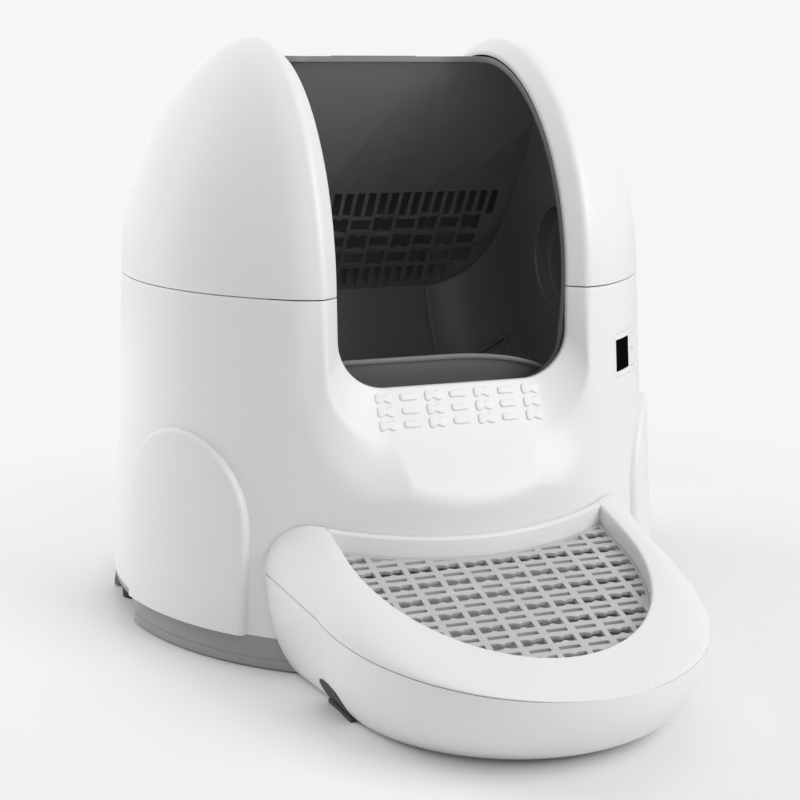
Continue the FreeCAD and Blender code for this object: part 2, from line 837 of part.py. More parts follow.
def flap_prism(inset):
    """Tongue with round shoulders as seen from the front, pushed through the front of the drum."""
    half = flap_half - inset
    top = flap_level - inset
    wide = flap_round - inset
    tall = flap_fall - inset
    start = half - wide
    base = top - tall
    low = flap_level - flap_height
    right = Part.Arc(Part.Ellipse(Vector(start, base, 0), wide, tall), 0.0, math.pi / 2.0).toShape()
    left = Part.Arc(Part.Ellipse(Vector(-start, base, 0), wide, tall), math.pi / 2.0, math.pi).toShape()
    wire = Part.Wire([Part.makeLine(Vector(-half, low, 0), Vector(half, low, 0)),
                      Part.makeLine(Vector(half, low, 0), Vector(half, base, 0)), right,
                      Part.makeLine(Vector(start, top, 0), Vector(-start, top, 0)), left,
                      Part.makeLine(Vector(-half, base, 0), Vector(-half, low, 0))])
    face = Part.Face(wire)
    face.rotate(Vector(0, 0, 0), x_line, 90.0)
    return face.extrude(Vector(0, -far, 0))


def hub_right():
    face = Vector(well_floor - hub_disc, 0, axis_height)
    disc = rod(hub_disc_radius, face, Vector(well_floor, 0, axis_height))
    shaft = rod(shaft_radius, face, Vector(shaft_end, 0, axis_height))
    bore = rod(shaft_radius - 2.5 * wall, Vector(well_floor, 0, axis_height), Vector(far, 0, axis_height))
    rim = axis_height + hub_disc_radius
    notch = box(Vector(well_floor - 2 * hub_disc, -hub_notch_width / 2.0, rim - hub_notch_depth),
                Vector(well_floor, hub_notch_width / 2.0, rim + hub_notch_depth))
    return disc.fuse(shaft).cut([bore, notch]).removeSplitter()


def hub_nut_right():
    start = well_back + running_gap / 3.0
    ring = rod(nut_radius, Vector(start, 0, axis_height), Vector(start + nut_width, 0, axis_height))
    return ring.cut(rod(shaft_radius + fit_play, Vector(0, 0, axis_height), Vector(far, 0, axis_height)))


# Bearings and drive

def bearing_ring(inner, outer, start, end):
    ring = rod(outer, Vector(start, 0, axis_height), Vector(end, 0, axis_height))
    return ring.cut(rod(inner, Vector(0, 0, axis_height), Vector(far, 0, axis_height)))


def bush_right():
    return bearing_ring(shaft_radius + fit_play, shaft_radius + bush_wall, boss_inner, boss_outer)


def cap_right():
    ring = bearing_ring(shaft_radius + bush_wall + fit_play, boss_radius, boss_inner, boss_outer)
    ears = box(Vector(boss_inner, -boss_radius - ear_reach, axis_height + running_gap),
               Vector(boss_outer, boss_radius + ear_reach, axis_height + ear_height))
    bore = rod(shaft_radius + bush_wall + fit_play, Vector(0, 0, axis_height), Vector(far, 0, axis_height))
    above = box(Vector(0, -far, axis_height + running_gap), Vector(far, far, 2 * far))
    cap = ring.fuse(ears).cut(bore).common(above).removeSplitter()
    for y in (-cap_screw_y, cap_screw_y):
        cap = cap.cut(rod(screw_radius + running_gap, Vector(cap_screw_x, y, axis_height - ear_height),
                          Vector(cap_screw_x, y, axis_height + 2.0 * ear_height)))
    return cap


def cradle_right():
    """Upright bracket that carries one end of the drum."""
    floor = tray_floor + tray_wall
    plate = polygon([Vector(bracket_inner, -bracket_foot / 2.0, floor),
                     Vector(bracket_inner, bracket_foot / 2.0, floor),
                     Vector(bracket_inner, bracket_head / 2.0, axis_height),
                     Vector(bracket_inner, -bracket_head / 2.0, axis_height)])
    plate = plate.extrude(Vector(bracket_wall, 0, 0))
    flange = box(Vector(bracket_inner - foot_flange, -bracket_foot / 2.0, floor),
                 Vector(bracket_inner + bracket_wall, bracket_foot / 2.0, floor + bracket_wall))
    boss = bearing_ring(shaft_radius + bush_wall + fit_play, boss_radius, boss_inner, boss_outer)
    ears = box(Vector(boss_inner, -boss_radius - ear_reach, axis_height - ear_depth),
               Vector(boss_outer, boss_radius + ear_reach, axis_height))
    shelf = box(Vector(deck_half - rib_depth, -bracket_foot / 3.0, deck_level - running_gap - bracket_wall),
                Vector(bracket_inner, bracket_foot / 3.0, deck_level - running_gap))
    ribs = []
    for y in (rib_width - bracket_head / 2.0, bracket_head / 2.0 - 2.0 * rib_width):
        ribs.append(box(Vector(bracket_inner - rib_depth, y, floor),
                        Vector(bracket_inner, y + rib_width, deck_level)))
    window = box(Vector(bracket_inner - wall, -bracket_head / 4.0, floor + window_margin),
                 Vector(bracket_inner + 2 * bracket_wall, bracket_head / 4.0, deck_level - window_margin))
    bore = rod(shaft_radius + bush_wall + fit_play, Vector(0, 0, axis_height), Vector(far, 0, axis_height))
    below = box(Vector(0, -far, 0), Vector(far, far, axis_height))
    body = fuse([plate, flange, boss, ears, shelf] + ribs).cut([bore, window]).common(below)
    for y in (-cap_screw_y, cap_screw_y):
        body = body.cut(rod(screw_radius + fit_play, Vector(cap_screw_x, y, axis_height - ear_screw_depth),
                            Vector(cap_screw_x, y, far)))
    for x, y in bracket_screw_places():
        if x > 0:
            body = body.cut(rod(screw_radius + running_gap, Vector(x, y, 0), Vector(x, y, deck_level / 2.0)))
    return body


def gear_outline(teeth, first_angle):
    """Involute teeth, each flank as three chords; returns points in (y, z) about the gear's centre."""
    pitch = gear_module * teeth / 2.0
    base = pitch * math.cos(math.radians(pressure_angle))
    root = pitch - gear_dedendum * gear_module
    tip = pitch + gear_addendum * gear_module
    half_tooth = math.pi / (2.0 * teeth) - gear_backlash / (2.0 * pitch)

    def inv(radius):
        if radius <= base:
            return 0.0
        roll = math.acos(base / radius)
        return math.tan(roll) - roll
    at_pitch = inv(pitch)
    radii = [root, max(base, root + flank_start), (max(base, root) + tip) / 2.0 + flank_bend, tip]
    points = []
    for tooth in range(teeth):
        middle = math.radians(first_angle) + 2.0 * math.pi * tooth / teeth
        left = [(r, middle - half_tooth - at_pitch + inv(r)) for r in radii]
        right = [(r, middle + half_tooth + at_pitch - inv(r)) for r in reversed(radii)]
        points += left + right
    return points


def gear_solid(teeth, first_angle, height, start, width, hole):
    loop = [Vector(start, r * math.cos(turn), height + r * math.sin(turn))
            for r, turn in gear_outline(teeth, first_angle)]
    blank = polygon(loop).extrude(Vector(width, 0, 0))
    return blank.cut(rod(hole, Vector(start - wall, 0, height), Vector(start + width + wall, 0, height)))


def gear_screw_places():
    turns = [math.radians(gear_screw_turn + 360.0 * index / gear_screws) for index in range(gear_screws)]
    return [(ring_middle * math.cos(turn), axis_height + ring_middle * math.sin(turn)) for turn in turns]


def ring_gear():
    start = -gear_face - gear_width
    gear = gear_solid(gear_teeth, -90.0, axis_height, start, gear_width, ring_root - gear_rim)
    for y, z in gear_screw_places():
        gear = gear.cut(rod(screw_radius + fit_play, Vector(start - wall, y, z), Vector(0, y, z)))
    return gear


def ring_gear_screws():
    start = -gear_face - gear_width
    screws = []
    for y, z in gear_screw_places():
        stem = rod(screw_radius, Vector(start, y, z), Vector(-gear_face + fit_play, y, z))
        head = rod(screw_head, Vector(start - screw_head_height, y, z), Vector(start, y, z))
        screws.append(stem.fuse(head).removeSplitter())
    return Part.makeCompound(screws)


def drive_pinion():
    start = -gear_face - gear_width + pinion_inset
    width = gear_width - 2.0 * pinion_inset
    gear = gear_solid(pinion_teeth, 90.0 + 180.0 / pinion_teeth, pinion_height, start, width,
                      shaft_small - pinion_inset)
    shaft = rod(shaft_small, Vector(-bracket_inner - bracket_wall - shaft_reach, 0, pinion_height),
                Vector(start + width, 0, pinion_height))
    return gear.fuse(shaft).removeSplitter()


def gearbox():
    start = -bracket_inner - bracket_wall - running_gap
    low = Vector(start - gearbox_depth, -gearbox_length / 2.0, pinion_height - gearbox_height / 2.0)
    high = Vector(start, gearbox_length / 2.0, pinion_height + gearbox_height / 2.0)
    case = box(low, high)
    upright = [edge for edge in case.Edges if abs(edge.tangentAt(edge.FirstParameter).x) > 0.9]
    case = case.makeFillet(gearbox_corner, upright)
    seat = rod(shaft_small + fit_play, Vector(start - shaft_reach - pinion_inset, 0, pinion_height),
               Vector(far, 0, pinion_height))
    return case.cut(seat)


def drive_motor():
    x = -bracket_inner - bracket_wall - running_gap - gearbox_depth / 2.0
    top = pinion_height - gearbox_height / 2.0 - running_gap / 3.0
    can = rod(motor_radius, Vector(x, 0, top - motor_length), Vector(x, 0, top))
    foot = top - motor_length
    cap = rod(motor_cap_radius, Vector(x, 0, foot - motor_cap), Vector(x, 0, foot))
    return can.fuse(cap).removeSplitter()


def cradle_left():
    """Mirror of the right bracket, with the hole for the pinion's shaft."""
    body = mirrored(cradle_right())
    hole = rod(shaft_small + shaft_clear, Vector(-far, 0, pinion_height), Vector(0, 0, pinion_height))
    return body.cut(hole)


# Base tray, drawer and deck

def oval_shell(low, high, grow, thick):
    return oval_body(low, high, grow).cut(oval_body(low - wall, high + wall, grow - thick))


def foot_places():
    """The plain feet, front and rear."""
    return [(sx * x, y) for sx in (-1, 1) for x, y in (front_foot, rear_foot)]


def hold_block(grow):
    """Hand hold in both sides of the skirt, open to the floor, its top corners round."""
    half = hold_half + grow
    top = hold_top + grow
    corner = hold_corner + grow
    bend = corner * (1.0 - math.sqrt(0.5))
    near = -half_width - flare + skirt_inset + hold_depth + grow
    low = -tray_floor

    def at(y, z):
        return Vector(-far, y, z)
    rear_arc = Part.Arc(at(half, top - corner), at(half - bend, top - bend), at(half - corner, top))
    front_arc = Part.Arc(at(corner - half, top), at(bend - half, top - bend), at(-half, top - corner))
    wire = Part.Wire([Part.makeLine(at(-half, low), at(half, low)),
                      Part.makeLine(at(half, low), at(half, top - corner)), rear_arc.toShape(),
                      Part.makeLine(at(half - corner, top), at(corner - half, top)), front_arc.toShape(),
                      Part.makeLine(at(-half, top - corner), at(-half, low))])
    left = Part.Face(wire).extrude(Vector(far + near, 0, 0))
    return left.fuse(mirrored(left))


def base_tray():
    skirt = oval_shell(skirt_clear, skirt_top, -skirt_inset, tray_wall)
    lip = oval_shell(skirt_clear, skirt_clear + skirt_lip_height, -skirt_inset + skirt_lip,
                     tray_wall + skirt_lip)
    floor = oval_body(tray_floor, tray_floor + tray_wall, -skirt_inset - tray_wall / 2.0)
    inside = oval_body(skirt_clear, skirt_top, -skirt_inset - tray_wall / 2.0)
    parts = [skirt, lip, floor, hold_block(tray_wall).common(inside)]
    for x, y in foot_places():
        parts.append(rod(foot_radius + foot_seat, Vector(x, y, foot_height), Vector(x, y, tray_floor)))
    for sign in (-1, 1):
        x = sign * rail_offset
        parts.append(box(Vector(x - rail_width / 2.0, -rail_front, tray_floor),
                         Vector(x + rail_width / 2.0, drawer_rear, drawer_bottom - running_gap / 3.0)))
    tray = fuse(parts).common(oval_body(skirt_clear, skirt_top, skirt_lip))
    tray = tray.cut([hold_block(0.0), bay_mouth()])
    for x, y in pillar_places():
        tray = tray.cut(rod(screw_radius + running_gap, Vector(x, y, 0), Vector(x, y, skirt_top)))
    for x, y in bracket_screw_places():
        tray = tray.cut(rod(thread_hole, Vector(x, y, 0), Vector(x, y, skirt_top)))
    return biggest(tray)


def bracket_screw_places():
    x = bracket_inner - foot_flange / 2.0
    y = bracket_foot / 2.0 - foot_screw_inset
    return [(sx * x, sy * y) for sx in (-1, 1) for sy in (-1, 1)]


def rubber_feet():
    """Low pads under the tray, and a tall foot in each hand hold."""
    feet = [rod(foot_radius, Vector(x, y, 0), Vector(x, y, foot_height)) for x, y in foot_places()]
    for sign in (-1, 1):
        x = sign * hold_foot_x
        feet.append(rod(hold_foot_radius, Vector(x, hold_foot_y, 0), Vector(x, hold_foot_y, hold_top)))
    return Part.makeCompound(feet)


def waste_drawer():
    outer = box(Vector(-drawer_half, -far, drawer_bottom), Vector(drawer_half, drawer_rear, drawer_top))
    front = oval_body(drawer_bottom, drawer_top + wall, -running_gap)
    outer = outer.common(front)
    inner = box(Vector(-drawer_half + drawer_wall, -far, drawer_bottom + drawer_wall),
                Vector(drawer_half - drawer_wall, drawer_rear - drawer_wall, drawer_top + wall))
    inner = inner.common(oval_body(drawer_bottom, drawer_top + 2 * wall, -running_gap - drawer_front_wall))
    tub = outer.cut(inner)
    for x, z in pedal_screw_places():
        tub = tub.cut(rod(screw_radius + running_gap, Vector(x, -far, z), Vector(x, -half_depth / 2.0, z)))
    return tub


def pedal_screw_places():
    return [(side * pedal_screw_pitch, pedal_screw_level) for side in (-1, 0, 1)]


def bag_ring():
    """Loose frame that holds the waste bag over the drawer's rim."""
    base = drawer_top + running_gap / 3.0
    outer = box(Vector(-drawer_half, -far, base), Vector(drawer_half, drawer_rear, base + ring_thick))
    outer = outer.common(oval_body(base - wall, base + 2 * wall, -running_gap - wall))
    inner = box(Vector(-drawer_half + ring_width, -far, 0), Vector(drawer_half - ring_width,
                drawer_rear - ring_width, far)).common(oval_body(base - wall, base + 3 * wall, -4 * wall))
    return outer.cut(inner)


def filter_cartridge():
    low = Vector(-filter_size.x / 2.0, drawer_rear - drawer_wall - running_gap / 3.0 - filter_size.y,
                 drawer_bottom + drawer_wall + filter_lift)
    case = box(low, low + filter_size)
    slots = []
    for index in range(filter_slots):
        x = (index - (filter_slots - 1) / 2.0) * filter_slot_pitch
        slots.append(box(Vector(x - filter_slot / 2.0, low.y, low.z + filter_margin),
                         Vector(x + filter_slot / 2.0, low.y + filter_slot_depth,
                                low.z + filter_size.z - filter_margin)))
    return case.cut(slots)


def waste_chute():
    """Deck under the drum with the port that drops into the drawer."""
    outer = oval_body(deck_level, deck_level + deck_wall, -wall - 2.0 * running_gap)
    deck = outer.common(box(Vector(-deck_half, -far, 0), Vector(deck_half, far, far)))
    port = box(Vector(-port_half, -port_depth, 0), Vector(port_half, port_depth, far))
    rim = box(Vector(-port_half - deck_wall, -port_depth - deck_wall, deck_level - port_rim),
              Vector(port_half + deck_wall, port_depth + deck_wall, deck_level + deck_wall))
    kerb = oval_shell(deck_level, deck_level + kerb_height, -wall - 2.0 * running_gap, deck_wall)
    kerb = kerb.common(box(Vector(-deck_half, -far, 0), Vector(deck_half, far, far)))
    return fuse([deck, rim, kerb]).cut(port)


# Pedal

def seam_level(y):
    return pedal_seam + pedal_seam_slope * (y + pedal_level_line)


def rim_level(y, drop=0.0):
    return rim_height + rim_slope * (y + pedal_level_line) - drop


def pedal_wire(half, rear_half, shoulder, reach, level):
    """Pedal outline: tapering sides and a half-oval front; level gives the height at each depth."""
    rear = -half_depth / 2.0
    slope = (rear_half - half) / (shoulder - pedal_rear_line)
    back = half + slope * (shoulder + rear)
    corner_rear = [Vector(sign * back, rear, level(rear)) for sign in (-1, 1)]
    side = [Vector(sign * half, -shoulder, level(-shoulder)) for sign in (-1, 1)]
    tip = Vector(0, -reach, level(-reach))
    middle = Vector(0, -shoulder, level(-shoulder))
    long_axis = tip.sub(middle)
    if long_axis.Length > half:
        curve = Part.Ellipse(tip, side[1], middle)
    else:
        curve = Part.Ellipse(side[1], tip, middle)
    first = Part.Arc(curve, *sorted_range(curve, side[0], tip)).toShape()
    second = Part.Arc(curve, *sorted_range(curve, tip, side[1])).toShape()
    return Part.Wire(Part.__sortEdges__([Part.makeLine(corner_rear[1], corner_rear[0]),
                                         Part.makeLine(corner_rear[0], side[0]), first, second,
                                         Part.makeLine(side[1], corner_rear[1])]))


def sorted_range(curve, start, end):
    """Parameter span of the quarter oval between two of its apexes."""
    low = curve.parameter(start)
    high = curve.parameter(end)
    if low > high:
        low, high = high, low
    if high - low > math.pi:
        low, high = high, low + 2.0 * math.pi
    return low, high


def pedal_section(share, grow, drop=0.0):
    """Outline between seam (0) and rim (1), on a quarter oval: steep at the seam, flat at the rim."""
    turn = share * math.pi / 2.0
    blend = 1.0 - math.cos(turn)
    climb = math.sin(turn)
    half = pedal_half + (rim_half + rim_land - pedal_half) * blend
    rear = pedal_rear_half + (rim_half + rim_land + 1.0 - pedal_rear_half) * blend
    shoulder = pedal_shoulder + (rim_shoulder - pedal_shoulder) * blend
    reach = pedal_reach + (rim_reach + rim_land - pedal_reach) * blend

    def level(y):
        return seam_level(y) + (rim_level(y) - seam_level(y)) * climb - drop
    return pedal_wire(half + grow, rear + grow, shoulder, reach + grow, level)


def pedal_dome(grow, drop=0.0):
    return Part.makeLoft([pedal_section(share, grow, drop) for share in dome_shares], True, False)


def pedal_bowl(grow, lift=0.0):
    """Lower half of the pedal: floor, belly and seam outlines."""
    def flat(y):
        return pedal_floor + lift

    def belly(y):
        return belly_level * seam_level(y) + lift / 2.0

    def outline(shares, level):
        side, rear, back = shares
        return pedal_wire(side * pedal_half + grow, rear * pedal_rear_half + grow, pedal_shoulder,
                          pedal_reach - back + grow, level)
    wires = [outline(bowl_floor, flat), outline(bowl_belly, belly), outline((1.0, 1.0, 0.0), seam_level)]
    return Part.makeLoft(wires, True, False)


def well_column(grow, low_drop, high_drop, inset=0.0):
    """Column through the pedal's basin between two planes parallel to its rim."""
    half = rim_half + grow
    wires = []
    for drop, narrow in ((low_drop, inset), (high_drop, 0.0)):
        wires.append(pedal_wire(half - narrow, half + 1.0 - narrow, rim_shoulder, rim_reach + grow - narrow,
                                lambda y, drop=drop: rim_level(y, drop)))
    return Part.makeLoft(wires, True, True)


def body_guard(grow):
    return oval_body(0.1, axis_height, grow).fuse(box(Vector(-far, 0, -far), Vector(far, far, far)))


def rear_strip(low_drop, high_drop, near, deep):
    """Strip of the pedal that follows the body's curve, between two planes parallel to the rim."""
    ring = oval_body(tray_floor, axis_height, deep).cut(oval_body(0.1, axis_height + wall, near))
    return ring.common(well_column(0.0, low_drop, high_drop))


def pedal_upper_shell():
    ledge = grille_drop + grille_wall + running_gap + pedal_wall
    hood = pedal_dome(0.0).cut(pedal_dome(-pedal_wall, pedal_wall))
    collar = well_column(pedal_wall, ledge, -wall).cut(well_column(0.0, ledge + wall, -2 * wall))
    collar = collar.common(pedal_dome(0.0))
    lip = well_column(wall / 2.0, ledge, ledge - pedal_wall).cut(
        well_column(-grille_ledge, ledge + wall, ledge - 2 * pedal_wall))
    strip = rear_strip(ledge, 0.0, pedal_gap, pedal_gap + strip_width)
    step = rear_strip(ledge, ledge - pedal_wall, pedal_gap, pedal_gap + strip_width + grille_ledge)
    hood = hood.cut(well_column(0.0, well_through, -well_over))
    whole = fuse([hood, collar, lip, strip, step]).cut(body_guard(pedal_gap))
    rear_wall = oval_body(pedal_seam, axis_height, pedal_gap + pedal_wall).common(
        pedal_dome(-pedal_skin, pedal_skin)).cut([
            body_guard(pedal_gap), well_column(0.0, well_through, -well_over)])
    return biggest(whole.fuse(rear_wall).removeSplitter())


def side_foot_block(grow, top):
    """Block low in each side of the pedal, its upper corners round, turned along the shell."""
    blocks = []
    for sign in (-1, 1):
        half = pedal_foot_length / 2.0 + grow
        block = box(Vector(-pedal_foot_inset - grow, -half, -2.0 * pedal_floor),
                    Vector(far, half, top + grow))
        upper = [edge for edge in block.Edges if abs(edge.tangentAt(edge.FirstParameter).x) > 0.9
                 and edge.BoundBox.ZMin > 0]
        block = block.makeFillet(pedal_foot_corner + grow, upper)
        if sign < 0:
            block = mirrored(block)
        block.rotate(Vector(0, 0, 0), Vector(0, 0, 1), -sign * pedal_foot_turn)
        block.translate(Vector(sign * bowl_belly[0] * pedal_half, -pedal_foot_y, 0))
        blocks.append(block)
    return blocks


def pedal_lower_shell():
    outer = pedal_bowl(0.0)
    inner = pedal_bowl(-pedal_wall, pedal_wall)
    guard = body_guard(pedal_gap + pedal_wall)
    inner = inner.cut(guard)
    bowl = outer.cut(inner)
    cheeks = [outer.common(block) for block in side_foot_block(pedal_wall, pedal_foot_top)]
    bowl = fuse([bowl] + cheeks).cut(side_foot_block(0.0, pedal_foot_top))
    bowl = bowl.cut(body_guard(pedal_gap))
    bowl = bowl.cut(seam_slice())
    for x, z in pedal_screw_places():
        bowl = bowl.cut(rod(thread_hole, Vector(x, -half_depth - 10.0 * wall, z), Vector(x, 0, z)))
    return biggest(bowl)


def seam_slice():
    """Thin slice that leaves the dark gap between the pedal's shells."""
    front = seam_level(-far) - pedal_seam_gap
    rear = seam_level(0.0) - pedal_seam_gap
    wedge = polygon([Vector(-far, -far, front), Vector(-far, 0, rear), Vector(-far, 0, far),
                     Vector(-far, -far, far)])
    return wedge.extrude(Vector(2 * far, 0, 0))


def pedal_feet():
    """A rubber foot in each side recess, a little proud of the shell, and two pads under the front."""
    shapes = []
    proud = pedal_bowl(pedal_foot_proud)
    for block in side_foot_block(-running_gap, pedal_foot_top):
        pad = block.common(proud)
        drop = block.common(box(Vector(-far, -far, 0), Vector(far, far, pedal_floor + wall / 3.0)))
        sole = drop.common(pedal_sole())
        shapes.append(fuse([pad, sole]))
    for sign in (-1, 1):
        place = Vector(sign * front_pad_x, -front_pad_y, 0)
        shapes.append(rod(front_pad_radius, place, place + Vector(0, 0, pedal_floor)))
    return Part.makeCompound(shapes)


def pedal_sole():
    """Column under the pedal's floor outline, a little wider, down to the ground."""
    side, rear, back = bowl_floor
    half = side * pedal_half + 3.0 * pedal_foot_proud
    wires = [pedal_wire(half, rear * pedal_rear_half, pedal_shoulder, pedal_reach - back,
                        lambda y, level=level: level) for level in (0.0, 2.0 * pedal_floor)]
    return Part.makeLoft(wires, True, True)


def grille_holes():
    """Holes of the grille, clipped inside its frame: rows of bones, with a row of slots between two."""
    down = Vector(0, -1, -rim_slope).normalize()
    out = Vector(0, -rim_slope, 1).normalize()
    room = well_column(-running_gap - grille_frame, well_through, -well_over)
    room = room.cut(body_guard(pedal_gap + strip_width + running_gap + grille_frame))
    holes = []
    for row in range(grille_rows):
        y = -grille_start - row * grille_pitch_y
        level = rim_level(y, grille_drop + grille_wall + wall)
        outline, size = (bar_points, grille_slot) if row % 2 else (bone_points, grille_bone)
        for column in range(grille_columns):
            x = (column - (grille_columns - 1) / 2.0) * grille_pitch_x
            loop = outline(size[0], size[1], x_line, down, Vector(x, y, level))
            whole = polygon(loop).extrude(out * (grille_wall + 2.0 * wall))
            clipped = whole.common(room)
            if clipped.Volume > grille_least * whole.Volume:
                holes.append(clipped)
    return holes


def pedal_grille():
    """Perforated plate that lies in the pedal's rim."""
    plate = well_column(-running_gap, grille_drop + grille_wall, grille_drop)
    plate = biggest(plate.cut(body_guard(pedal_gap + strip_width + running_gap)))
    return biggest(plate.cut(grille_holes()))


def pedal_screws():
    screws = []
    for x, z in pedal_screw_places():
        inside = -depth_at(x, z, -running_gap - drawer_front_wall)
        tip = -depth_at(x, z, pedal_gap + pedal_wall * 0.9)
        seat = inside + screw_head * abs(x) / half_depth + 2.0 * running_gap
        stem = rod(thread_hole - fit_play, Vector(x, tip, z), Vector(x, seat, z))
        head = rod(screw_head, Vector(x, seat, z), Vector(x, seat + screw_head_height, z))
        screws.append(fuse([stem, head]))
    return Part.makeCompound(screws)


def depth_at(x, level, grow):
    out = body_half(level) + grow
    return (half_depth + out) * math.sqrt(1.0 - (x / (half_width + out)) ** 2)


# Display, buttons and electronics

def shell_patch(thinner=0.0):
    """Piece of the housing's wall round the panel's level, thinner from inside if asked."""
    low = panel_level - panel_height
    high = panel_level + panel_height
    return oval_body(low, high).cut(oval_body(low - wall, high + wall, -wall + thinner))


def lens_block(play):
    return facing(lens_angle, panel_level, lens_width - 2 * play, lens_height - 2 * play,
                  half_width / 2.0, far / 2.0)


def button_block(which, play):
    level = panel_level + which * (button_size + button_gap) / 2.0
    return facing(button_angle, level, button_size - 2 * play, button_size - 2 * play,
                  half_width / 2.0, far / 2.0)


def display_bezel():
    plate = shell_patch().common(panel_window(panel_play))
    plate = plate.cut([lens_block(0.0), button_block(-1, 0.0), button_block(1, 0.0)])
    return fuse([plate] + board_posts())


def display_lens():
    return shell_patch(wall / 3.0).common(lens_block(panel_play))


def push_button(which):
    return shell_patch().common(button_block(which, button_play))


def behind_panel(angle, level, size, back, aside=0.0, rise=0.0):
    """Flat block behind the wall, square to the direction of the panel, set aside and up along it."""
    turn = math.radians(angle)
    grow = body_half(level)
    reach = 1.0 / math.sqrt((math.sin(turn) / (half_width + grow)) ** 2
                            + (math.cos(turn) / (half_depth + grow)) ** 2)
    low = Vector(aside - size.x / 2.0, -reach + back, level + rise - size.z / 2.0)
    block = Part.makeBox(size.x, size.y, size.z, low)
    block.rotate(Vector(0, 0, 0), Vector(0, 0, 1), angle)
    return block


def display_board():
    size = Vector(panel_width, board_wall, panel_height)
    return behind_panel(panel_angle, panel_level, size, board_back)


def board_posts():
    """Posts on the back of the bezel, in its margins above and below lens and buttons."""
    room = oval_body(skirt_top, axis_height, -wall / 2.0)
    margin = (panel_height - 2.0 * button_size - button_gap) / 2.0
    size = Vector(margin - 2.0 * running_gap, board_back - running_gap, margin - 2.0 * running_gap)
    rise = (panel_height - margin) / 2.0
    return [behind_panel(panel_angle, panel_level, size, 0.0, sx * post_aside, sz * rise).common(room)
            for sx in (-1, 1) for sz in (-1, 1)]


def button_switches():
    """Two small switches that stand on the display board behind the buttons."""
    shapes = []
    aside = half_depth * math.sin(math.radians(button_angle - panel_angle))
    size = Vector(switch_size, switch_height, switch_size)
    for which in (-1, 1):
        rise = which * (button_size + button_gap) / 2.0
        shapes.append(behind_panel(panel_angle, panel_level, size, board_back - switch_height, aside, rise))
    return Part.makeCompound(shapes)


def control_board():
    """Main board on four posts behind the right bulge, with two chips on its face."""
    board = behind_panel(control_angle, control_level, Vector(control_width, board_wall, control_height),
                         control_back)
    size = Vector(chip_size, chip_height, chip_size)
    rise = control_height / 4.0
    chips = [behind_panel(control_angle, control_level, size, control_back - chip_height, 0.0, sign * rise)
             for sign in (-1, 1)]
    return fuse([board] + chips)


def control_posts():
    """Moulded posts from the bulge's wall to the main board."""
    room = oval_body(skirt_top, axis_height, bulge_proud - wall / 2.0)
    size = Vector(2.0 * wall, control_back + bulge_proud - running_gap, 2.0 * wall)
    aside = control_width / 2.0 - 2.0 * wall
    rise = control_height / 2.0 - 2.0 * wall
    posts = [behind_panel(control_angle, control_level, size, -bulge_proud, sx * aside, sz * rise)
             for sx in (-1, 1) for sz in (-1, 1)]
    return [post.common(room) for post in posts]


def presence_sensor():
    """Small sensor block against the back of the ledge under the lip."""
    level = (lip_sill + ridge_sill) / 2.0
    low = Vector(-presence_size.x / 2.0, -ridge_radius - ridge_lean, level - presence_size.z / 2.0)
    block = box(low, low + presence_size)
    return biggest(block.cut(low_funnel(wall + running_gap)))


def magnet_place():
    """Where the position magnet sits on the gear at rest, as (y, z): low, beside the pinion."""
    turn = math.radians(magnet_angle)
    return ring_middle * math.cos(turn), axis_height + ring_middle * math.sin(turn)


def position_magnet():
    y, z = magnet_place()
    start = -gear_face - gear_width
    return rod(magnet_radius, Vector(start - magnet_thick, y, z), Vector(start, y, z))


def position_sensor():
    y, z = magnet_place()
    reach = -gear_face - gear_width - sensor_size.x
    return box(Vector(-bracket_inner, y - sensor_size.y / 2.0, z - sensor_size.z / 2.0),
               Vector(reach, y + sensor_size.y / 2.0, z + sensor_size.z / 2.0))


def bracket_screws():
    screws = []
    base = tray_floor + tray_wall + bracket_wall
    for x, y in bracket_screw_places():
        stem = rod(thread_hole - fit_play, Vector(x, y, tray_floor + running_gap), Vector(x, y, base))
        head = rod(screw_head, Vector(x, y, base), Vector(x, y, base + screw_head_height))
        screws.append(stem.fuse(head).removeSplitter())
    return Part.makeCompound(screws)


def cap_screws():
    screws = []
    top = axis_height + ear_height
    for x in (-cap_screw_x, cap_screw_x):
        for y in (-cap_screw_y, cap_screw_y):
            stem = rod(screw_radius, Vector(x, y, axis_height - ear_height), Vector(x, y, top))
            head = rod(screw_head, Vector(x, y, top), Vector(x, y, top + screw_head_height))
            screws.append(stem.fuse(head).removeSplitter())
    return Part.makeCompound(screws)


def housing_screws():
    screws = []
    for x, y in pillar_places():
        stem = rod(thread_hole - fit_play, Vector(x, y, tray_floor), Vector(x, y, skirt_top + screw_bite))
        head = rod(screw_head, Vector(x, y, tray_floor - screw_head_height), Vector(x, y, tray_floor))
        screws.append(stem.fuse(head).removeSplitter())
    return Part.makeCompound(screws)


